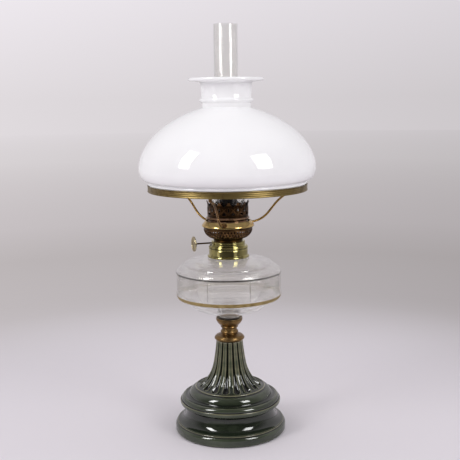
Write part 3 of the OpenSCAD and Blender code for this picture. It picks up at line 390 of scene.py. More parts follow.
# Lead-glazed pottery, dipped and fired: a smooth glassy coat over an olive body colour. Thin glaze on
# edges is a pale grey green, pooled glaze is nearly black, and faint streaks show where it flowed.
def glazed_pottery():
    made = bpy.data.materials.new("green_glazed_pottery")
    made.use_nodes = True
    tree = made.node_tree
    shader = tree.nodes["Principled BSDF"]
    depth = add(tree, "ShaderNodeAttribute", {"attribute_name": "glaze"}).outputs["Fac"]
    place = add(tree, "ShaderNodeTexCoord").outputs["Object"]
    runs = add(tree, "ShaderNodeMapping", None, {"Vector": place, "Scale": (14, 14, 110)})
    streaks = add(tree, "ShaderNodeTexNoise", None, {
        "Vector": runs.outputs[0], "Scale": 1.0, "Detail": 4.0, "Roughness": 0.6})
    clouds = add(tree, "ShaderNodeTexNoise", None, {"Vector": place, "Scale": 30.0, "Detail": 3.0})
    uneven = add(tree, "ShaderNodeMath", {"operation": "MULTIPLY_ADD"}, {0: streaks.outputs[0], 1: 0.3, 2: -0.24})
    patchy = add(tree, "ShaderNodeMath", {"operation": "MULTIPLY_ADD"}, {
        0: clouds.outputs[0], 1: 0.2, 2: uneven.outputs[0]})
    thick = add(tree, "ShaderNodeMath", {"operation": "ADD"}, {0: depth, 1: patchy.outputs[0]})
    colour = colour_ramp(tree, thick.outputs[0], [
        (0.0, "#9fa088"), (0.24, "#75725a"), (0.42, "#434a3a"), (0.62, "#1c2319"), (1.0, "#070a06")])
    dimples = add(tree, "ShaderNodeTexNoise", None, {"Vector": place, "Scale": 60.0, "Detail": 1.0})
    bump = add(tree, "ShaderNodeBump", None, {"Height": dimples.outputs[0], "Strength": 0.05, "Distance": 0.001})
    tree.links.new(colour, shader.inputs["Base Color"])
    tree.links.new(bump.outputs[0], shader.inputs["Normal"])
    shader.inputs["Roughness"].default_value = 0.08
    shader.inputs["IOR"].default_value = 1.58
    return made


foot = closed(around("foot_glazed", foot_slice, FLUTES, glazed_pottery()))
dress(foot, "root", "glazed_pottery", "foot")


# Connector: a turned brass collar cemented on the column, and the cup above it that holds the font.
# It is old unlacquered brass, gone brown, and rubbed brighter on its beads.
def rounded(points, radius, steps=3):
    """A closed outline with each corner rounded, except on the lamp's axis."""
    made = []
    for i, corner in enumerate(points):
        before, here, after = (np.array(points[k % len(points)], float) for k in (i - 1, i, i + 1))
        reach = min(radius, 0.45 * np.linalg.norm(before - here), 0.45 * np.linalg.norm(after - here))
        if corner[0] <= 0 or reach < 0.01:
            made.append(tuple(here))
            continue
        a = here + (before - here) / np.linalg.norm(before - here) * reach
        b = here + (after - here) / np.linalg.norm(after - here) * reach
        for t in np.linspace(0, 1, steps + 1):
            made.append(tuple((1 - t) ** 2 * a + 2 * t * (1 - t) * here + t * t * b))
    return made


def turned(name, points, finish, edge=0.25, columns=144):
    """A piece spun to a closed outline round the lamp's axis. edge is the radius of its corners."""
    outline = np.array(rounded(points, edge))
    turns = np.linspace(0, 2 * math.pi, columns, endpoint=False)[None, :]
    mesh = loop_mesh(name, at_angles(outline[:, :1], outline[:, 1:], turns), whole_turn=True)
    mesh.materials.append(finish)
    piece = bpy.data.objects.new(name, mesh)
    scene.collection.objects.link(piece)
    return closed(piece)


# Brass, turned or spun and then aged: the clean metal is yellow, and air and lamp oil turn it brown in
# soft blotches. Fine marks of the lathe run round it, drawn about four times as coarse as they are.
def aged_brass(name, clean, stained, stain, roughness, marks=1.0):
    made = bpy.data.materials.new(name)
    made.use_nodes = True
    tree = made.node_tree
    shader = tree.nodes["Principled BSDF"]
    shader.inputs["Metallic"].default_value = 1.0
    place = add(tree, "ShaderNodeTexCoord").outputs["Object"]
    blotches = add(tree, "ShaderNodeTexNoise", None, {
        "Vector": place, "Scale": 60.0, "Detail": 6.0, "Roughness": 0.65})
    amount = add(tree, "ShaderNodeMapRange", None, {
        "Value": blotches.outputs[0], "From Min": 0.66 - 0.4 * stain, "From Max": 0.86 - 0.3 * stain})
    colour = add(tree, "ShaderNodeMix", {"data_type": "RGBA"}, {
        "Factor": amount.outputs[0], 6: to_linear(clean), 7: to_linear(stained)})
    dull = add(tree, "ShaderNodeMapRange", None, {
        "Value": amount.outputs[0], "To Min": roughness, "To Max": min(1.0, roughness + 0.2)})
    lines = add(tree, "ShaderNodeMapping", None, {"Vector": place, "Scale": (12, 12, 2400)})
    grain = add(tree, "ShaderNodeTexNoise", None, {"Vector": lines.outputs[0], "Scale": 1.0, "Detail": 2.0})
    bump = add(tree, "ShaderNodeBump", None, {
        "Height": grain.outputs[0], "Strength": 0.08 * marks, "Distance": 0.0006})
    tree.links.new(colour.outputs[2], shader.inputs["Base Color"])
    tree.links.new(dull.outputs[0], shader.inputs["Roughness"])
    tree.links.new(bump.outputs[0], shader.inputs["Normal"])
    return made


connector_brass = aged_brass("turned_brass_gone_brown", "#826842", "#3a2c1e", 0.5, 0.3, 0.5)
seam_z = span("column_collar")[1]
seam_r = 11.5
cup_z, cup_top, cup_r = span("font_cup")
stud_r = span("connector_stud")[2]
collar_skirt_r = column_r + 0.15
collar_roll_r = span("column_collar")[2]
collar = [(stud_r + 0.1, seam_z), (stud_r + 0.1, seam_z - 3), (stud_r + 2.1, seam_z - 3),
          (stud_r + 2.1, foot_top + 10.2), (seam_r, foot_top + 9.2), (collar_roll_r - 3.8, foot_top + 7.4),
          (collar_roll_r - 1.2, foot_top + 4.8), (collar_skirt_r + 0.1, foot_top + 1.6), (collar_skirt_r, foot_top)]
collar += arc(collar_roll_r - 2.9, foot_top + 3.8, 2.9, -58, 62, 9) + [
    (collar_roll_r - 2.3, foot_top + 7.4), (collar_roll_r - 3.6, foot_top + 8.2), (seam_r + 5.4, foot_top + 8.8),
    (seam_r + 2.6, foot_top + 9.8), (seam_r + 0.8, foot_top + 10.8)]
collar += arc(seam_r - 0.5, foot_top + 13.4, 2.6, -62, 62, 8) + [(seam_r + 0.2, foot_top + 16.2), (seam_r, seam_z)]
dress(turned("connector_collar", collar, connector_brass, 0.3), "root", "dark_brass", "column_collar")

cup = [(stud_r + 0.1, cup_z), (seam_r, cup_z), (seam_r + 0.1, cup_z + 1.2), (seam_r + 1.4, cup_z + 2.4)]
cup += arc(seam_r + 0.6, cup_z + 3.6, 1.4, -40, 50, 5) + bezier(
    (seam_r + 1.9, cup_z + 5.0), (seam_r + 4.6, cup_z + 7.2), (cup_r - 2.6, cup_z + 9.2), (cup_r - 1.6, cup_z + 10.8), 7)
cup += [(cup_r - 1.5, cup_z + 11.6), (cup_r - 0.8, cup_z + 12.2), (cup_r - 0.5, cup_z + 13.2), (cup_r, cup_z + 14.2),
        (cup_r, cup_top), (cup_r - 1.2, cup_top), (cup_r - 1.2, cup_top - 3), (cup_r - 3.2, cup_top - 7),
        (seam_r + 0.6, cup_z + 4.5), (stud_r + 2.2, cup_z + 4.5), (stud_r + 2.2, cup_z + 8.5), (stud_r + 0.1, cup_z + 8.5)]
dress(turned("connector_cup", cup, connector_brass, 0.3), "root", "dark_brass", "font_cup")


# Plaster and stud: inside the connector, plaster of Paris holds the collar on the column and the font
# in its cup, and a screwed brass stud joins the two halves. Set plaster is chalky with tiny pits.
def plaster_of_paris(name, dark, pale):
    made = bpy.data.materials.new(name)
    made.use_nodes = True
    tree = made.node_tree
    shader = tree.nodes["Principled BSDF"]
    place = add(tree, "ShaderNodeTexCoord").outputs["Object"]
    cloud = add(tree, "ShaderNodeTexNoise", None, {"Vector": place, "Scale": 120.0, "Detail": 5.0})
    colour = colour_ramp(tree, cloud.outputs[0], [(0.3, dark), (0.7, pale)])
    pits = add(tree, "ShaderNodeTexVoronoi", None, {"Vector": place, "Scale": 900.0})
    bump = add(tree, "ShaderNodeBump", None, {"Height": pits.outputs[0], "Strength": 0.3, "Distance": 0.0004})
    tree.links.new(colour, shader.inputs["Base Color"])
    tree.links.new(bump.outputs[0], shader.inputs["Normal"])
    shader.inputs["Roughness"].default_value = 0.9
    return made


def finish_node(node, finish):
    """Gives a CAD node whose shape stays its material."""
    mesh = frame["nodes"][node].data
    mesh.materials.clear()
    mesh.materials.append(finish)


finish_node("column_plaster", plaster_of_paris("set_plaster_of_paris", "#c9c1ae", "#e3ddcf"))
oiled = plaster_of_paris("set_plaster_soaked_with_oil", "#3f3628", "#5e523e")
for node in ("cup_plaster", "collar_plaster"):
    finish_node(node, oiled)
finish_node("connector_stud", connector_brass)


# Font: clear glass pressed in a mould, then ground at the neck. Eight shallow panels are pressed in its
# upright wall, under a sharp round shoulder. The solid peg below is set in the cup.
PANELS = 8
panel_depth = 1.4
glass_wall = 3.4
neck_r = 25.5
peg_r = 16.0
font_z, font_top, font_r = span("font")
wall_z = cup_top + 40
shoulder_z = wall_z + 34
neck_z = shoulder_z + 21


def font_outside():
    line = [(0, font_z), (peg_r - 1, font_z), (peg_r, font_z + 1), (peg_r + 0.8, cup_top + 0.6)]
    line += bezier((peg_r + 2, cup_top + 3), (peg_r + 24, cup_top + 13.5), (font_r - 24, wall_z - 26),
                   (font_r - 20, wall_z - 14.2), 20)
    line += bezier((font_r - 18.4, wall_z - 13), (font_r - 7.5, wall_z - 11.8), (font_r - 1.2, wall_z - 8),
                   (font_r - 0.6, wall_z), 16)
    line += [(font_r - 0.5, wall_z + 8), (font_r - 0.3, shoulder_z - 9), (font_r - 0.2, shoulder_z - 2)]
    line += arc(font_r - 1.0, shoulder_z - 0.4, 1.0, -30, 85, 8) + [(font_r - 1.5, shoulder_z + 0.9)]
    line += bezier((font_r - 1.8, shoulder_z + 1.8), (font_r - 3.6, shoulder_z + 5.2), (font_r - 6.5, shoulder_z + 7.2),
                   (font_r - 9.6, shoulder_z + 7.9), 12) + [(font_r - 10.6, shoulder_z + 8.4), (font_r - 11.4, shoulder_z + 9.2)]
    line += bezier((font_r - 12.0, shoulder_z + 10.4), (font_r - 14.6, shoulder_z + 15.2), (font_r - 26, neck_z - 1.5),
                   (neck_r + 1.5, neck_z - 0.4), 24)
    return line + [(neck_r, neck_z + 0.8), (neck_r, font_top)]


def font_inside():
    bore_r = neck_r - glass_wall + 1.2
    line = [(bore_r, font_top), (bore_r, neck_z - glass_wall + 3)]
    line += bezier((bore_r + 4, neck_z - glass_wall), (font_r - 25, neck_z - 1.5 - glass_wall),
                   (font_r - 9.5, shoulder_z + 8), (font_r - 3 - glass_wall, shoulder_z - 1), 24)
    line += [(font_r - panel_depth - glass_wall, shoulder_z - 4), (font_r - panel_depth - glass_wall, wall_z + 4)]
    line += bezier((font_r - 4 - glass_wall, wall_z - 5), (font_r - 24, wall_z - 11), (peg_r + 26, cup_top + 21),
                   (peg_r + 6, cup_top + 11.4), 18)
    return line + [(peg_r, cup_top + 10), (0, cup_top + 9)]


def panelled(radii, heights, turns):
    """The font's outer radii with the panels pressed in: each is part of a wide upright cylinder."""
    edge = math.pi / PANELS
    sag = font_r - panel_depth - font_r * math.cos(edge)
    bend = ((font_r * math.sin(edge)) ** 2 + sag * sag) / (2 * sag)
    centre = font_r - panel_depth - bend
    pressed = centre * np.cos(turns) + np.sqrt(bend ** 2 - (centre * np.sin(turns)) ** 2)
    share = np.clip((heights - wall_z - 2.0) / 1.2, 0, 1) * np.clip((shoulder_z - 0.9 - heights) / 0.7, 0, 1)
    ridge = 0.45 * np.exp(-((edge - np.abs(turns)) * font_r / 0.8) ** 2) * share
    return np.where(share > 0, radii + share * (np.minimum(radii, pressed) - radii), radii) + ridge


# Clear glass with a fire-polished skin. It is thin and much brighter than a solid lens, so a share of
# the rays goes straight through, and rays from the lamps all do, so that it casts no black shadow. A
# sharp edge and the peg in its cement bend light so far that they look dark from outside; that dark is
# painted shade, a near-black colour painted on the glass at the marked edges, on the first surface seen.
def clear_glass(name, tint, ripple, straight):
    made = bpy.data.materials.new(name)
    made.use_nodes = True
    tree = made.node_tree
    shader = tree.nodes["Principled BSDF"]
    shader.inputs["Transmission Weight"].default_value = 1.0
    shader.inputs["Roughness"].default_value = 0.0
    shader.inputs["IOR"].default_value = 1.52
    waves = add(tree, "ShaderNodeTexNoise", None, {
        "Vector": add(tree, "ShaderNodeTexCoord").outputs["Object"], "Scale": 45.0, "Detail": 1.0})
    bump = add(tree, "ShaderNodeBump", None, {"Height": waves.outputs[0], "Strength": ripple, "Distance": 0.001})
    tree.links.new(bump.outputs[0], shader.inputs["Normal"])
    path = add(tree, "ShaderNodeLightPath")
    nearest = add(tree, "ShaderNodeMath", {"operation": "SUBTRACT"}, {
        0: path.outputs["Is Camera Ray"], 1: path.outputs["Transparent Depth"]})
    first_look = add(tree, "ShaderNodeMapRange", None, {"Value": nearest.outputs[0], "To Min": 0.2})
    # Painted shade: the glass colour turns near-black where the mesh marks an edge.
    edge = add(tree, "ShaderNodeMath", {"operation": "MULTIPLY"}, {
        0: add(tree, "ShaderNodeAttribute", {"attribute_name": "painted_shade_edge"}).outputs["Fac"], 1: first_look.outputs[0]})
    colour = add(tree, "ShaderNodeMix", {"data_type": "RGBA"}, {
        "Factor": edge.outputs[0], 6: to_linear(tint), 7: to_linear("#14110d")})
    tree.links.new(colour.outputs[2], shader.inputs["Base Color"])
    clear = add(tree, "ShaderNodeBsdfTransparent", None, {"Color": to_linear("#fefefd")})
    back = add(tree, "ShaderNodeNewGeometry").outputs["Backfacing"]
    bend = add(tree, "ShaderNodeMapRange", None, {"Value": back, "To Min": 1.52, "To Max": 1 / 1.52})
    mirror = add(tree, "ShaderNodeFresnel", None, {"IOR": bend.outputs[0], "Normal": bump.outputs[0]})
    gloss = add(tree, "ShaderNodeBsdfGlossy", None, {"Roughness": 0.0, "Normal": bump.outputs[0]})
    open_way = add(tree, "ShaderNodeMixShader", None, {0: mirror.outputs[0], 1: clear.outputs[0], 2: gloss.outputs[0]})
    passed = add(tree, "ShaderNodeMapRange", None, {
        "Value": edge.outputs[0], "From Max": 0.7, "To Min": straight, "To Max": 0.0})
    share = add(tree, "ShaderNodeMath", {"operation": "MAXIMUM"}, {
        0: path.outputs["Is Shadow Ray"], 1: passed.outputs[0]})
    mixed = add(tree, "ShaderNodeMixShader", None, {0: share.outputs[0], 1: shader.outputs[0], 2: open_way.outputs[0]})
    tree.links.new(mixed.outputs[0], tree.nodes["Material Output"].inputs["Surface"])
    return made


outline = np.array(font_outside())
fine = [0.0, 0.9, 1.9, 2.1, 2.5, 3.1, 3.3, 4.0]
rows = sorted([wall_z + d for d in fine] + [shoulder_z - d for d in (0.15, 0.35, 0.9, 1.1, 1.3, 1.6, 1.8, 2.6)] +
              list(np.linspace(wall_z + 6, shoulder_z - 4, 7)))
in_wall = (outline[:, 1] > wall_z - 0.1) & (outline[:, 1] < shoulder_z - 0.1)
first, last = np.argmax(in_wall), len(in_wall) - 1 - np.argmax(in_wall[::-1])
wall_rows = np.stack([np.interp(rows, outline[first:last + 2, 1], outline[first:last + 2, 0]), rows], 1)
outline = np.concatenate([outline[:first], wall_rows, outline[last + 1:]])
turns = math.pi / PANELS * np.sin(np.linspace(-math.pi / 2, math.pi / 2, 45))[None, :]
radii = panelled(outline[:, :1] + 0 * turns, outline[:, 1:] + 0 * turns, turns)
# Painted shade for the glass: a dark band on the shoulder edge, a dark ring over the peg just above the cup, and faint
# dark lines on the panel edges.
painted_edge_shade = np.minimum(1, 1.6 * np.exp(-((outline[:, 1:] - shoulder_z + 0.9) / 1.4) ** 2)) * np.clip(
    outline[:, :1] - font_r + 2.2, 0, 1)
painted_edge_shade = np.maximum(painted_edge_shade, np.clip((cup_top + 7 - outline[:, 1:]) / 4, 0, 1)) + 0 * turns
upright = (outline[:, 1:] > wall_z + 2) & (outline[:, 1:] < shoulder_z - 1)
painted_edge_shade = np.maximum(painted_edge_shade, 0.6 * upright * np.exp(-((math.pi / PANELS - np.abs(turns)) * font_r / 0.9) ** 2))
inner = np.array(font_inside())
radii = np.concatenate([radii, inner[:, :1] + 0 * turns])
heights = np.concatenate([outline[:, 1:], inner[:, 1:]])
font_slice = loop_mesh("font_slice", at_angles(radii, heights, turns - math.pi / 2))
font_slice.attributes.new("painted_shade_edge", "FLOAT", "POINT").data.foreach_set(
    "value", np.concatenate([painted_edge_shade, 0 * inner[:, :1] + 0 * turns]).reshape(-1).astype(np.float32))
font = closed(around("font_pressed", font_slice, PANELS, clear_glass("pressed_clear_glass", "#fefdfa", 0.008, 0.74)))
dress(font, "root", "clear_glass", "font")


# Gilt band: a line of liquid gold painted round the foot of the font's wall and fired on. It is a few
# thousandths of a millimetre thick, drawn here at a twentieth, and it is rubbed thin in places. From
# behind, through the glass, the film is nearly clear.
def fired_gilding():
    made = bpy.data.materials.new("fired_on_gilding")
    made.use_nodes = True
    tree = made.node_tree
    shader = tree.nodes["Principled BSDF"]
    place = add(tree, "ShaderNodeTexCoord").outputs["Object"]
    rubbed = add(tree, "ShaderNodeTexNoise", None, {"Vector": place, "Scale": 160.0, "Detail": 6.0})
    colour = colour_ramp(tree, rubbed.outputs[0], [(0.34, "#7a6738"), (0.5, "#95804c"), (0.68, "#a6915c")])
    tree.links.new(colour, shader.inputs["Base Color"])
    shader.inputs["Metallic"].default_value = 0.4
    shader.inputs["Roughness"].default_value = 0.45
    film = add(tree, "ShaderNodeBsdfTransparent")
    path = add(tree, "ShaderNodeLightPath")
    through_glass = add(tree, "ShaderNodeMath", {"operation": "MAXIMUM", "use_clamp": True}, {
        0: path.outputs["Is Transmission Ray"], 1: path.outputs["Transparent Depth"]})
    share = add(tree, "ShaderNodeMath", {"operation": "MULTIPLY"}, {0: through_glass.outputs[0], 1: 0.85})
    mixed = add(tree, "ShaderNodeMixShader", None, {0: share.outputs[0], 1: shader.outputs[0], 2: film.outputs[0]})
    tree.links.new(mixed.outputs[0], tree.nodes["Material Output"].inputs["Surface"])
    return made


band_low, band_high = wall_z - 6.6, wall_z - 0.6
line = [p for p in spaced(font_outside(), 0.5) if band_low < p[1] < band_high and p[0] > font_r - 8]
gap, skin = 0.01, 0.05
band = [(r + gap + skin, z) for r, z in line] + [(r + gap, z) for r, z in reversed(line)]
gilt = turned("font_gilt_band", band, fired_gilding(), 0.0, 192)
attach(gilt, "root")


# Font collar: spun brass, cemented over the glass neck, with the thread for the burner inside. It is
# cleaner than the rest, a greenish yellow with soft brown blotches and a satin skin.
bright = aged_brass("spun_brass_satin", "#a69e68", "#5c4a26", 0.22, 0.1, 0.2)
collar_z, collar_top, collar_bead_r = span("font_collar")
collar_r = collar_bead_r - 2.5
thread_r = 27.1
neck_seat_z = collar_z + 4.5
collar = [(collar_r - 0.8, neck_seat_z), (thread_r, neck_seat_z), (thread_r, collar_top), (collar_r - 0.5, collar_top)]
collar += arc(collar_r - 0.5, collar_top - 0.7, 0.7, 90, -60, 5) + [
    (collar_r - 0.3, collar_top - 1.7), (collar_r, collar_top - 2.2), (collar_r, collar_z + 4.4)]
collar += [(collar_r + 0.5, collar_z + 3.9)] + arc(collar_bead_r - 1.7, collar_z + 1.9, 1.7, 70, -80, 10) + [
    (collar_r + 0.4, collar_z), (collar_r - 0.8, collar_z)]
dress(turned("collar_spun", collar, bright, 0.15), "root", "bright_brass", "font_collar")


# Gasket: a flat ring of black rubber that seals the burner on the collar. It was stamped from sheet,
# and it has a dull, slightly dusty skin.
def dusty_rubber():
    made = bpy.data.materials.new("stamped_black_rubber")
    made.use_nodes = True
    tree = made.node_tree
    shader = tree.nodes["Principled BSDF"]
    dust = add(tree, "ShaderNodeTexNoise", None, {
        "Vector": add(tree, "ShaderNodeTexCoord").outputs["Object"], "Scale": 300.0, "Detail": 4.0})
    colour = colour_ramp(tree, dust.outputs[0], [(0.35, "#1d1a18"), (0.75, "#3a352f")])
    tree.links.new(colour, shader.inputs["Base Color"])
    shader.inputs["Roughness"].default_value = 0.75
    return made


finish_node("burner_gasket", dusty_rubber())

# Burner base: one spun brass shell, with a screwed skirt, a flange that rests on the gasket and a ring
# above it. Fine lines are cut in the ring, and the wick spindle enters through a drilled hole.
base_z, base_top, flange_r = span("burner_base")
flange_z = span("burner_gasket")[1]
ring_r = 25.5
ring_z = flange_z + 3.3
sheet = 0.8
skirt_r = thread_r - 0.1
winder = next(j for j in frame["joints"] if j["name"] == "wick_turn")
spindle_at = Vector(winder["pos_m"])
spindle_out = Vector(winder["axis"]).normalized()
tube_r = span("wick_tube")[2]
base = [(skirt_r, base_z), (skirt_r, flange_z), (flange_r - 0.5, flange_z)]
base += arc(flange_r - 1.0, flange_z + 1.0, 1.0, -60, 60, 6) + [(flange_r - 0.9, flange_z + 2.1)]
base += arc(flange_r - 2.0, ring_z - 0.7, 0.8, 0, 85, 4) + [(ring_r + 0.3, ring_z), (ring_r, ring_z + 0.3)]
for line_z in (ring_z + 1.6, base_top - 2.4):
    base += [(ring_r, line_z - 0.35), (ring_r - 0.3, line_z), (ring_r, line_z + 0.35)]
base += [(ring_r, base_top - 0.7), (ring_r - 0.6, base_top), (21.3, base_top), (21.3, base_top - sheet),
         (ring_r - sheet, base_top - sheet), (ring_r - sheet, flange_z + sheet), (tube_r, flange_z + sheet),
         (tube_r, flange_z), (skirt_r - sheet, flange_z), (skirt_r - sheet, base_z)]
burner_base = turned("base_spun", base, bright, 0.12)


def drilled(piece, at, direction, radius, depth):
    """Bores a round hole into a piece from a point along a direction, all in metres."""
    shape = bmesh.new()
    bmesh.ops.create_cone(shape, cap_ends=True, segments=32, radius1=radius, radius2=radius, depth=depth)
    bmesh.ops.transform(shape, verts=shape.verts, matrix=Matrix.Translation(
        at + direction * depth / 2) @ direction.to_track_quat("Z", "Y").to_matrix().to_4x4())
    drill = bpy.data.objects.new("drill", bpy.data.meshes.new("drill"))
    shape.to_mesh(drill.data)
    shape.free()
    scene.collection.objects.link(drill)
    bore = piece.modifiers.new("bore", "BOOLEAN")
    bore.operation = "DIFFERENCE"
    bore.object = drill
    settle(piece)
    bpy.data.objects.remove(drill)
    return closed(piece)


drilled(burner_base, spindle_at + spindle_out * 12 * MM, spindle_out, 1.32 * MM, 22 * MM)
dress(burner_base, "burner", "bright_brass", "burner_base")

# Wick tubes, box and wheels: drawn brass tubes, a folded box and two stamped wheels on the spindle.
# They sit in the draught and the soot, so they are dull brown, and the spindle is nearly black.
sooty = aged_brass("drawn_brass_sooted", "#2a211a", "#0e0b09", 0.7, 0.6, 0.4)
for node in ("wick_tube", "draught_tube", "wheel_box", "burner_deck"):
    finish_node(node, sooty)
finish_node("wick_wheels", aged_brass("stamped_brass_oiled", "#9a7a45", "#574021", 0.5, 0.3, 0.3))
finish_node("wick_spindle", aged_brass("spindle_brass_blackened", "#6a5236", "#2b2018", 0.75, 0.3, 0.3))


# Wick: flat woven cotton, rolled to a tube in the burner. The weave is 1.4 mm a thread, coarser than
# real so that it shows, with a brown scorched rim at the mouth of the tube.
def woven_cotton(top):
    made = bpy.data.materials.new("woven_cotton_wick")
    made.use_nodes = True
    tree = made.node_tree
    shader = tree.nodes["Principled BSDF"]
    place = add(tree, "ShaderNodeSeparateXYZ", None, {0: add(tree, "ShaderNodeTexCoord").outputs["Object"]})
    turn = add(tree, "ShaderNodeMath", {"operation": "ARCTAN2"}, {0: place.outputs["Y"], 1: place.outputs["X"]})
    warp = add(tree, "ShaderNodeMath", {"operation": "SINE"}, {
        0: add(tree, "ShaderNodeMath", {"operation": "MULTIPLY"}, {0: turn.outputs[0], 1: 56.0}).outputs[0]})
    weft = add(tree, "ShaderNodeMath", {"operation": "SINE"}, {
        0: add(tree, "ShaderNodeMath", {"operation": "MULTIPLY"}, {0: place.outputs["Z"], 1: 4500.0}).outputs[0]})
    weave = add(tree, "ShaderNodeMath", {"operation": "MULTIPLY"}, {0: warp.outputs[0], 1: weft.outputs[0]})
    thread = add(tree, "ShaderNodeMapRange", None, {"Value": weave.outputs[0], "From Min": -1.0})
    cotton = colour_ramp(tree, thread.outputs[0], [(0.2, "#bdb294"), (0.8, "#ede6d2")])
    burnt = add(tree, "ShaderNodeMapRange", None, {
        "Value": place.outputs["Z"], "From Min": top - 0.009, "From Max": top - 0.003})
    scorch = colour_ramp(tree, burnt.outputs[0], [(0.0, "#ffffff"), (0.5, "#8a6840"), (1.0, "#17110c")])
    colour = add(tree, "ShaderNodeMix", {"data_type": "RGBA", "blend_type": "MULTIPLY"}, {
        "Factor": 1.0, 6: cotton, 7: scorch})
    bump = add(tree, "ShaderNodeBump", None, {"Height": thread.outputs[0], "Strength": 0.6, "Distance": 0.0004})
    tree.links.new(colour.outputs[2], shader.inputs["Base Color"])
    tree.links.new(bump.outputs[0], shader.inputs["Normal"])
    shader.inputs["Roughness"].default_value = 0.95
    return made


wick_top = span("wick")[1] * MM
finish_node("wick", woven_cotton(wick_top))

# Knob: a brass disc stamped with a raised rim and a plain rosette, pressed on the end of the spindle.
# Fingers keep it brighter than the spindle, and it has soft brown blotches.
PETALS = 8
knob_r, knob_t = 11.7, 2.4
hub_reach = 3.4
knob_out = 51.0
shares = np.concatenate([np.linspace(0, 0.8, 21), np.linspace(0.82, 1.0, 9)])
turns = np.linspace(0, 2 * math.pi, 96, endpoint=False)[None, :]
radii = (knob_r * shares)[:, None] + 0 * turns
petal = np.cos(PETALS * turns) * np.exp(-((shares[:, None] - 0.5) / 0.2) ** 2)
face = knob_t / 2 + 0.35 * petal + 0.5 * np.exp(-(shares[:, None] / 0.17) ** 2) + 0.5 * np.exp(
    -((shares[:, None] - 0.24) / 0.03) ** 2) + (knob_t / 2 - 0.1) * np.exp(-((shares[:, None] - 0.93) / 0.055) ** 2)
face[-1] = knob_t - 1.0
edge = [(knob_r, 0.9), (knob_r - 0.4, 0.3), (knob_r - 1.2, 0.0), (knob_r - 2.0, 0.5), (4.4, 0.5), (3.1, 0.2),
        (2.3, -0.8), (2.2, -hub_reach + 0.3), (1.9, -hub_reach), (1.2, -hub_reach), (1.2, knob_t / 2 - 0.2),
        (0, knob_t / 2 - 0.2)]
back = np.array(edge)
radii = np.concatenate([radii, back[:, :1] + 0 * turns])
face = np.concatenate([face + 0 * turns, back[:, 1:] + 0 * turns])
knob_mesh = loop_mesh("knob_stamped", np.stack([radii * np.cos(turns), radii * np.sin(turns), face], 2) * MM, True)
knob_mesh.transform(Matrix.Translation(spindle_at + spindle_out * (knob_out - knob_t) * MM) @
                    spindle_out.to_track_quat("Z", "Y").to_matrix().to_4x4())
knob_mesh.materials.append(aged_brass("stamped_brass_handled", "#b8ac8b", "#655742", 0.45, 0.3, 0.3))
knob = bpy.data.objects.new("knob_stamped", knob_mesh)
scene.collection.objects.link(knob)
dress(closed(knob), "winder", "knob_brass", "wick_knob")


# Bowl: thin brass, spun, stamped with a lattice of crossing ribs and pierced between the ribs in three
# rows, so that the flame can draw air. It is unpolished and has gone a dark brown.
def pierced(name, count, turns, outline, metal, relief, finish, thickness):
    """A pierced sheet made of slices round the axis. metal is positive where the sheet has metal, and
    relief is how far it stands out in millimetres. Both have a row for each point of the outline."""
    along = np.gradient(outline, axis=0)
    along /= np.linalg.norm(along, axis=1)[:, None]
    surface = at_angles(outline[:, :1] + relief * along[:, 1:], outline[:, 1:] - relief * along[:, :1], turns)
    points, faces, known, lifts = [], [], {}, []

    def point(key, place, lift):
        if key not in known:
            known[key] = len(points)
            points.append(tuple(place))
            lifts.append(lift)
        return known[key]

    for i in range(metal.shape[0] - 1):
        for j in range(metal.shape[1] - 1):
            corners = [(i, j), (i, j + 1), (i + 1, j + 1), (i + 1, j)]
            face = []
            for a, b in zip(corners, corners[1:] + corners[:1]):
                if metal[a] > 0:
                    face.append(point(a, surface[a], relief[a]))
                if (metal[a] > 0) != (metal[b] > 0):
                    share = min(0.92, max(0.08, metal[a] / (metal[a] - metal[b])))
                    face.append(point(tuple(sorted((a, b))), surface[a] * (1 - share) + surface[b] * share, relief[a]))
            if len(face) > 2:
                faces.append(face)
    mesh = bpy.data.meshes.new(name + "_slice")
    mesh.from_pydata(points, [], faces)
    mesh.attributes.new("stamping", "FLOAT", "POINT").data.foreach_set(
        "value", (np.array(lifts) - relief.min()) / np.ptp(relief))
    piece = around(name, mesh, count, finish)
    plate = piece.modifiers.new("plate", "SOLIDIFY")
    plate.thickness = thickness * MM
    plate.offset = -1
    return closed(settle(piece))


def soot_and_painted_shade_inside(finish, depth):
    """Blackens the side that faces the lamp's axis with soot and painted shade, and darkens the pits between stamped
    ribs by depth as painted shade.
    """
    tree = finish.node_tree
    shader = tree.nodes["Principled BSDF"]
    clean = shader.inputs["Base Color"].links[0].from_socket
    flat = add(tree, "ShaderNodeVectorMath", {"operation": "MULTIPLY"}, {
        0: add(tree, "ShaderNodeTexCoord").outputs["Object"], 1: (1, 1, 0)})
    outward = add(tree, "ShaderNodeVectorMath", {"operation": "NORMALIZE"}, {0: flat.outputs[0]})
    facing = add(tree, "ShaderNodeVectorMath", {"operation": "DOT_PRODUCT"}, {
        0: outward.outputs[0], 1: add(tree, "ShaderNodeNewGeometry").outputs["True Normal"]})
    soot = add(tree, "ShaderNodeMapRange", None, {
        "Value": facing.outputs["Value"], "From Min": -0.05, "From Max": 0.15, "To Min": 0.04})
    painted_pit_shade = add(tree, "ShaderNodeMapRange", None, {
        "Value": add(tree, "ShaderNodeAttribute", {"attribute_name": "stamping"}).outputs["Fac"], "To Min": 1 - depth})
    share = add(tree, "ShaderNodeMath", {"operation": "MULTIPLY"}, {0: soot.outputs[0], 1: painted_pit_shade.outputs[0]})
    sooty = add(tree, "ShaderNodeVectorMath", {"operation": "SCALE"}, {0: clean, "Scale": share.outputs[0]})
    tree.links.new(sooty.outputs[0], shader.inputs["Base Color"])
    return finish


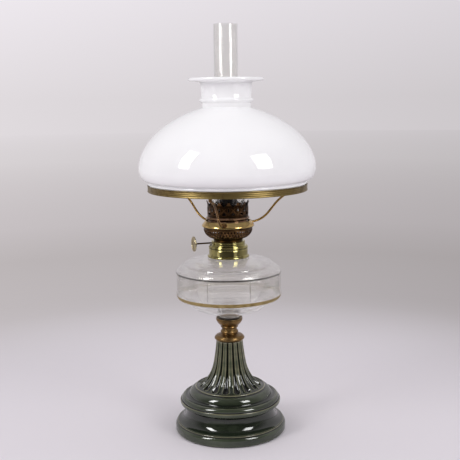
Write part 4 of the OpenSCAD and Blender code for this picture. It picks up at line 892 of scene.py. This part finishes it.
BOWL_HOLES = 48
bowl_z, bowl_top, bowl_lip_r = span("burner_bowl")
bowl_r = bowl_lip_r - 1.2
bowl_neck_r = 22.3
line = [(bowl_neck_r, bowl_z), (bowl_neck_r, bowl_z + 2.2)] + bezier(
    (bowl_neck_r + 1.8, bowl_z + 3.6), (bowl_r - 6, bowl_z + 6), (bowl_r - 0.6, bowl_z + 11),
    (bowl_r, bowl_top - 3.4), 24) + [(bowl_r, bowl_top - 1.0), (bowl_r + 0.3, bowl_top - 0.5), (bowl_lip_r, bowl_top - 0.4)]
outline = np.concatenate([spaced(line[:12], 1.0)[:-1], spaced(line[11:], 0.42)])
runs = np.concatenate([[0], np.cumsum(np.linalg.norm(np.diff(outline, axis=0), axis=1))])
shares = np.linspace(-0.5, 0.5, 13)[None, :]
turns = (shares / BOWL_HOLES - 0.25) * 2 * math.pi
row_z, row_step = bowl_z + 15.8, 4.8
top_row = np.interp(row_z, outline[:, 1], runs)
across = shares * 2 * math.pi / BOWL_HOLES * outline[:, :1]
down = (runs - top_row)[:, None]
metal = np.full(across.shape, 1.0)
for row in range(3):
    for middle in ((0,) if row % 2 == 0 else (-0.5, 0.5)):
        x = (shares - middle) * 2 * math.pi / BOWL_HOLES * outline[:, :1]
        metal = np.minimum(metal, (np.abs(x / 1.3) ** 1.5 + np.abs((down + row * row_step) / 1.7) ** 1.5) ** (1 / 1.5) - 1)
ribs = np.zeros_like(metal)
for way in (-1, 1):
    phase = shares + way * down / (2 * row_step)
    ribs = np.maximum(ribs, np.exp(-((phase - np.floor(phase) - 0.5) / 0.13) ** 2))
lattice = np.clip((outline[:, 1:] - bowl_z - 3.5) / 2, 0, 1) * np.clip((row_z + 2.6 - outline[:, 1:]) / 0.6, 0, 1)
leaves = np.exp(-((outline[:, 1:] - row_z - 3.4) / 0.6) ** 2) * (0.5 + 0.5 * np.cos(2 * math.pi * shares))
# Soot and painted shade inside the bowl, and painted shade in the pits between its ribs.
brown = soot_and_painted_shade_inside(aged_brass("stamped_brass_dark_brown", "#735638", "#2c2016", 0.6, 0.3, 0.2), 0.42)
bowl = pierced("bowl_pierced", BOWL_HOLES, turns, outline, metal, 0.5 * ribs * lattice + 0.3 * leaves - 0.45, brown, 0.55)
dress(bowl, "burner", "brown_brass", "burner_bowl")

# Gallery base: spun brass, pushed on the burner's neck. Its flange carries the chimney and the crown.
# Heat has turned it a reddish copper brown.
gallery_z, gallery_flange_top, gallery_r = span("gallery_base")
gallery_skirt_r = 30.2
crown_z, crown_top, crown_tip_r = span("gallery_crown")
chimney_z, chimney_top, chimney_foot_r = span("chimney")
crown_r = 31.1
seat_r = chimney_foot_r - 3.1
gallery = [(gallery_skirt_r - sheet, gallery_z), (gallery_skirt_r, gallery_z), (gallery_skirt_r, gallery_z + 8.2),
           (gallery_skirt_r - 0.6, gallery_z + 9.2), (gallery_skirt_r - 0.6, gallery_z + 10.0),
           (gallery_skirt_r + 0.6, gallery_z + 11.2), (gallery_r - 1.0, gallery_z + 11.8)]
gallery += arc(gallery_r - 1.1, gallery_z + 12.9, 1.1, -60, 60, 6) + [
    (gallery_r - 1.0, gallery_flange_top - 0.7), (gallery_r - 1.4, crown_z), (crown_r - 0.7, crown_z),
    (crown_r - 1.1, chimney_z), (seat_r, chimney_z), (seat_r, chimney_z - sheet),
    (gallery_skirt_r - sheet - 0.8, chimney_z - sheet), (gallery_skirt_r - sheet, gallery_z + 10)]
heated = aged_brass("spun_brass_heated", "#94765c", "#3d2d20", 0.5, 0.2, 0.5)
dress(turned("gallery_spun", gallery, heated, 0.15), "gallery", "brown_brass", "gallery_base")
finish_node("gallery_springs", heated)

# Crown: thin brass, pierced in a tracery of arches, pointed holes and trefoil heads, rolled to a ring
# and flared at the top, where the heads curl outwards. It grips the springs inside, and is dark brown.
CROWN_POINTS = 14
pitch = 2 * math.pi / CROWN_POINTS
tall = crown_top - crown_z
outline = np.array([(crown_r, crown_z + z) for z in np.linspace(0, tall - 6.5, 40)] + bezier(
    (crown_r + 0.03, crown_top - 6.1), (crown_r + 0.1, crown_top - 3.6), (crown_r + 0.5, crown_top - 1.4),
    (crown_tip_r - 0.6, crown_top - 0.3), 15) + [(crown_tip_r - 0.2, crown_top - 0.1)])
shares = np.linspace(-0.5, 0.5, 35)[None, :]
turns = math.radians(-87.7) + shares * pitch
x = shares * pitch * crown_r + 0 * outline[:, :1]
up = outline[:, 1:] - crown_z + 0 * x
beside = pitch * crown_r / 2 - np.abs(x)


def spot(dx, z, r):
    """Positive inside a circle."""
    return r - np.hypot(dx, up - z)


arch = np.minimum(np.maximum.reduce([spot(beside, 6.6, 2.0), spot(beside - 1.9, 5.2, 1.5), 2.4 - beside - 0 * up]),
                  np.minimum(up - 3.9, 9.0 - up))
arch = np.minimum(arch, np.maximum(spot(beside, 6.6, 2.0), np.maximum(spot(beside - 1.9, 5.2, 1.5), 5.6 - up)))
lens = 5.4 - np.hypot(np.abs(x) + 4.0, up - 11.6)
gap = np.maximum(spot(beside, 19.2, 2.3), np.minimum(2.4 - beside, up - 19.2))
head = np.maximum.reduce([spot(x, 20.6, 2.3), spot(np.abs(x) - 2.3, 17.9, 1.9),
                          np.minimum(1.9 - np.abs(x), 22.9 - up)])
metal = np.maximum(np.minimum.reduce([-arch, -lens, -gap, 18.5 - up]), np.minimum(head, up - 15.0))
ribs = np.zeros_like(x)
for way in (-1, 1):
    phase = x / (pitch * crown_r) + way * (up - 11.6) / 13.0
    ribs = np.maximum(ribs, np.exp(-((phase - np.floor(phase) - 0.5) / 0.06) ** 2))
relief = 0.3 * ribs * np.clip((up - 3.5) / 1.5, 0, 1) * np.clip((15.5 - up) / 2, 0, 1)
relief += 0.3 * np.exp(-((np.minimum(-arch, -lens) - 0.35) / 0.3) ** 2) + 0.28 * np.clip((up - 18.2) / 1.5, 0, 1) - 0.28
# Soot and painted shade inside the crown, and painted shade in its low parts, so the raised heads, rims and ribs stand
# out lighter.
crown_brown = soot_and_painted_shade_inside(aged_brass("pierced_brass_dark_brown", "#735436", "#33251a", 0.55, 0.34, 0.2), 0.72)
crown = pierced("crown_pierced", CROWN_POINTS, turns, outline, metal, relief, crown_brown, 0.5)
dress(crown, "gallery", "brown_brass", "gallery_crown")

# Chimney: thin clear glass, blown in a mould with a wide foot and drawn in above the flame. Both rims
# are cut and melted round in a fire.
tube_out_r = 17.7
chimney_wall = 1.5
bulge_z = chimney_z + 41


def chimney_side(inset):
    return bezier((chimney_foot_r - inset, bulge_z), (chimney_foot_r - inset, bulge_z + 10),
                  (tube_out_r - inset, bulge_z + 7), (tube_out_r - inset, bulge_z + 20), 22)


half = chimney_wall / 2
glass = arc(chimney_foot_r - half, chimney_z + half, half, 180, 360, 9) + [
    (chimney_foot_r, bulge_z - 1)] + chimney_side(0)
glass += arc(tube_out_r - half, chimney_top - half, half, 0, 180, 9)
glass += list(reversed(chimney_side(chimney_wall))) + [(chimney_foot_r - chimney_wall, bulge_z - 1)]
dress(turned("chimney_blown", glass, clear_glass("blown_clear_glass", "#fefefe", 0.001, 0.9), 0.0, 128), "chimney",
      "chimney_glass", "chimney")

# Holder hub: spun brass cone that stands on the burner's rim, polished by handling. The three arms are
# riveted on its slope.
hub_z, hub_top, hub_r = span("holder_hub")
hub_bore = 33.5
cone_low, cone_top = (hub_r, hub_z + 1.6), (hub_bore + 0.9, hub_top)
hub = [(hub_bore + 1.5, hub_z), (hub_r - 1.0, hub_z), (hub_r - 0.2, hub_z + 0.3), (hub_r, hub_z + 0.8),
       (hub_r, hub_z + 1.4), (hub_r - 0.4, hub_z + 2.4), (hub_r - 1.0, hub_z + 3.4), (hub_r - 1.7, hub_z + 4.4), cone_top,
       (hub_bore, hub_top),
       (hub_bore, hub_top - 1.2), (hub_r - 1.9, hub_z + 1.8), (hub_r - 2.1, hub_z + 1.0), (hub_bore + 1.5, hub_z + 1.0)]
worn = aged_brass("spun_brass_worn_bright", "#c8ad70", "#7a5c2d", 0.28, 0.2, 0.35)
dress(turned("hub_spun", hub, worn, 0.2, 192), "shade_holder", "bright_brass", "holder_hub")

# Arms: three drawn brass rods, bent up and outwards from the hub to the ring. Each ends below in an
# oval lug that is riveted on the hub's slope, and above in a foot brazed under the ring.
rod_r = 1.7
ring_foot_z = span("holder_ring")[0]
ledge_r = 115.6
arm_start = np.array([hub_r - 1.7, hub_z + 4.2])
dip, steep, level = np.radians([4, 49, 10])
low_bend, straight = 40.9, 13.0
lug_turn = math.atan2(cone_top[1] - cone_low[1], cone_low[0] - cone_top[0])
lug_at = Matrix.Translation(((cone_low[0] + cone_top[0]) / 2, 0, (cone_low[1] + cone_top[1]) / 2)) @ Matrix.Rotation(
    lug_turn, 4, "Y")
rivet_side = 3.6


def arm_line():
    """The middle of an arm, as points and directions in its own upright plane."""
    points = []
    for turn in np.linspace(dip, steep, 16):
        points.append((*(arm_start + low_bend * np.array(
            [math.sin(turn) - math.sin(dip), math.cos(dip) - math.cos(turn)])), turn))
    begin = np.array(points[-1][:2])
    high = begin + straight * np.array([math.cos(steep), math.sin(steep)])
    high_bend = (ledge_r - high[0]) / (math.sin(steep) - math.sin(level))
    for turn in np.linspace(steep, level, 14):
        points.append((*(high + high_bend * np.array(
            [math.sin(steep) - math.sin(turn), math.cos(turn) - math.cos(steep)])), turn))
    return points


def capped(rings):
    """A closed shell through rings of points, with its ends filled."""
    shape = bmesh.new()
    made = [[shape.verts.new(p) for p in ring] for ring in rings]
    for low, high in zip(made, made[1:]):
        for k in range(len(low)):
            m = (k + 1) % len(low)
            shape.faces.new((low[k], low[m], high[m], high[k]))
    shape.faces.new(made[0])
    shape.faces.new(made[-1])
    return shape


def rod_rings():
    rings = []
    around_rod = np.linspace(0, 2 * math.pi, 20, endpoint=False)
    for x, z, turn in arm_line():
        rings.append([(x - rod_r * math.cos(a) * math.sin(turn), rod_r * math.sin(a),
                       z + rod_r * math.cos(a) * math.cos(turn)) for a in around_rod])
    return rings


def oval_rings(half_long, half_wide, middle, profile):
    """Rings of an oval boss. profile is a list of (share of its size, height)."""
    turns = np.linspace(0, 2 * math.pi, 36, endpoint=False)
    return [[(half_wide * share * math.cos(a), middle + half_long * share * math.sin(a), height) for a in turns]
            for share, height in profile]


def shell_part(rings, place):
    shape = capped(rings)
    bmesh.ops.recalc_face_normals(shape, faces=shape.faces)
    bmesh.ops.transform(shape, verts=shape.verts, matrix=Matrix.Diagonal((MM, MM, MM, 1)) @ place)
    mesh = bpy.data.meshes.new("part")
    shape.to_mesh(mesh)
    shape.free()
    return mesh


foot_x, foot_height, _ = arm_line()[-1]
lug_profile = [(1.0, -0.3), (1.0, 0.7), (0.95, 1.0), (0.84, 1.15)]
pad_profile = [(0.45, foot_height - ring_foot_z - 1.9), (0.85, foot_height - ring_foot_z - 1.6),
               (1.0, foot_height - ring_foot_z - 0.8), (1.0, -0.5), (1.2, 0.0)]
for name, heading in (("front", -102), ("right", 18), ("left", 138)):
    turn = Matrix.Rotation(math.radians(heading), 4, "Z")
    parts = [shell_part(rod_rings(), turn),
             shell_part(oval_rings(5.2, 3.6, 1.6, lug_profile), turn @ lug_at),
             shell_part(oval_rings(2.5, 2.5, 0, pad_profile), turn @ Matrix.Translation((foot_x, 0, ring_foot_z)))]
    arm = bpy.data.objects.new("arm_bent_" + name, parts[0])
    scene.collection.objects.link(arm)
    for part in parts[1:]:
        extra = bpy.data.objects.new("extra", part)
        scene.collection.objects.link(extra)
        join = arm.modifiers.new("join", "BOOLEAN")
        join.operation = "UNION"
        join.object = extra
        settle(arm)
        bpy.data.objects.remove(extra)
    arm.data.materials.clear()
    # The front arm is drawn darker than the other two: painted shade, as the three rods are alike.
    clean, stained = ("#8b6a44", "#3f2d20") if name == "front" else ("#ae8b4c", "#5d4424")
    arm.data.materials.append(aged_brass("bent_brass_rod_" + name, clean, stained, 0.5, 0.25, 0.3))
    dress(closed(arm), "shade_holder", "arm_brass", "holder_arm_" + name)

# Rivets: small brass rivets with domed heads, closed cold through the lugs and the hub.
dome = [(0.01, 2.0)] + [(1.9 * math.sin(a), 1.15 + 0.85 * math.cos(a)) for a in np.radians([15, 30, 45, 60, 75, 90])]
turns = np.linspace(0, 2 * math.pi, 24, endpoint=False)
rings = [[(r * math.cos(a), r * math.sin(a) + rivet_side, z) for a in turns] for r, z in dome + [(1.0, 1.1), (1.0, -0.9)]]
rivet = shell_part(rings, Matrix.Rotation(math.radians(18), 4, "Z") @ lug_at)
rivets = closed(around("rivets_domed", rivet, 3, aged_brass("rivet_brass_dark", "#6f5534", "#2c2017", 0.6, 0.3, 0.2)))
dress(rivets, "shade_holder", "brown_brass", "arm_rivets")

# Holder ring: a strip of brass rolled to a ring with a ledge inside for the shade. Lines are rolled in
# its face, and the metal is an olive yellow.
ring_z, ring_top, ring_out = span("holder_ring")
ring_wall, ledge_w = 1.4, 6.0
ring = [(ring_out - ring_wall - ledge_w, ring_z), (ring_out - 1.2, ring_z)] + arc(
    ring_out - 1.1, ring_z + 1.1, 1.1, -85, 40, 7)
for line_z in (ring_z + 2.6, ring_z + 5.0, ring_z + 7.4):
    ring += [(ring_out - 0.45, line_z - 0.5), (ring_out - 0.85, line_z), (ring_out - 0.45, line_z + 0.5),
             (ring_out - 0.3, line_z + 1.0)]
ring += arc(ring_out - 0.7, ring_top - 0.7, 0.7, -10, 180, 9) + [
    (ring_out - ring_wall, ring_z + ring_wall), (ring_out - ring_wall - ledge_w, ring_z + ring_wall)]
rolled = aged_brass("rolled_brass_olive", "#7d6c43", "#45361f", 0.42, 0.36, 0.15)
dress(turned("ring_rolled", ring, rolled, 0.12, 288), "shade_holder", "bright_brass", "holder_ring")


# Shade: opal glass blown in a mould, thick at the rims, with a bead and a flange turned out on its neck.
# It is a milky, faintly blue white all through, with a clear fire-polished gloss.
def opal_glass():
    made = bpy.data.materials.new("blown_opal_glass")
    made.use_nodes = True
    tree = made.node_tree
    shader = tree.nodes["Principled BSDF"]
    place = add(tree, "ShaderNodeTexCoord").outputs["Object"]
    milk = add(tree, "ShaderNodeTexNoise", None, {"Vector": place, "Scale": 9.0, "Detail": 3.0})
    colour = colour_ramp(tree, milk.outputs[0], [(0.3, "#f7f7f8"), (0.7, "#fbfbfb")])
    waves = add(tree, "ShaderNodeTexNoise", None, {"Vector": place, "Scale": 22.0, "Detail": 1.0})
    bump = add(tree, "ShaderNodeBump", None, {"Height": waves.outputs[0], "Strength": 0.04, "Distance": 0.002})
    tree.links.new(colour, shader.inputs["Base Color"])
    tree.links.new(bump.outputs[0], shader.inputs["Normal"])
    shader.inputs["Roughness"].default_value = 0.06
    shader.inputs["IOR"].default_value = 1.5
    return made


shade_z, shade_top, shade_r = span("shade")
shade_r -= 0.03
shade_foot_r = 117.2
lip_r = shade_foot_r + 1.7
opal = 3.0
belly_z = shade_z + 30
shade_neck_z = shade_z + 122
shade_neck_r = 37.3
flange_edge = 2.4
flange_z = shade_neck_z + 35
flange_out = 56.3


def shade_side(inset):
    line = bezier((shade_foot_r + 0.8 - inset, shade_z + 13.5), (shade_foot_r + 4 - inset, shade_z + 14 + inset),
                  (shade_r - 1 - inset, belly_z - 14 + inset), (shade_r - inset, belly_z), 18)
    return line + bezier((shade_r - inset, belly_z + 1), (shade_r - inset, belly_z + 35),
                         (shade_r - 32.7 - inset / 2, shade_neck_z - 19 - inset / 2),
                         (shade_neck_r - 0.8 - inset / 2, shade_neck_z - inset), 40)


shade = arc(shade_foot_r - opal / 2, shade_z + opal / 2, opal / 2, 180, 360, 9)
shade += [(shade_foot_r, ring_top), (lip_r - 0.7, ring_top + 0.4), (lip_r, ring_top + 1.0), (lip_r, ring_top + 3.2),
          (lip_r - 0.5, ring_top + 4.1), (shade_foot_r + 0.5, ring_top + 4.5)] + shade_side(0)
shade += [(shade_neck_r - 0.9, shade_neck_z + 4.2), (shade_neck_r - 0.6, shade_neck_z + 6.4)] + arc(
    shade_neck_r, shade_neck_z + 10.3, 3.0, -78, 78, 12)
shade += [(shade_neck_r - 0.1, shade_neck_z + 14.8), (shade_neck_r + 0.2, shade_neck_z + 22),
          (shade_neck_r + 1.0, shade_top - 8.0), (shade_neck_r + 1.5, shade_top - 6.8), (shade_neck_r + 2.6, shade_top - 6.2)]
shade += arc(flange_out - flange_edge, shade_top - flange_edge, flange_edge, -85, 90, 12)
shade += bezier((shade_neck_r + 9, shade_top - 0.1), (shade_neck_r + 3, shade_top - 0.6),
                (shade_neck_r - opal + 1.2, flange_z + 4), (shade_neck_r - opal, flange_z - 5), 10)
shade += list(reversed(shade_side(opal)))
dress(turned("shade_blown", shade, opal_glass(), 0.0, 256), "shade", "opal_glass", "shade")
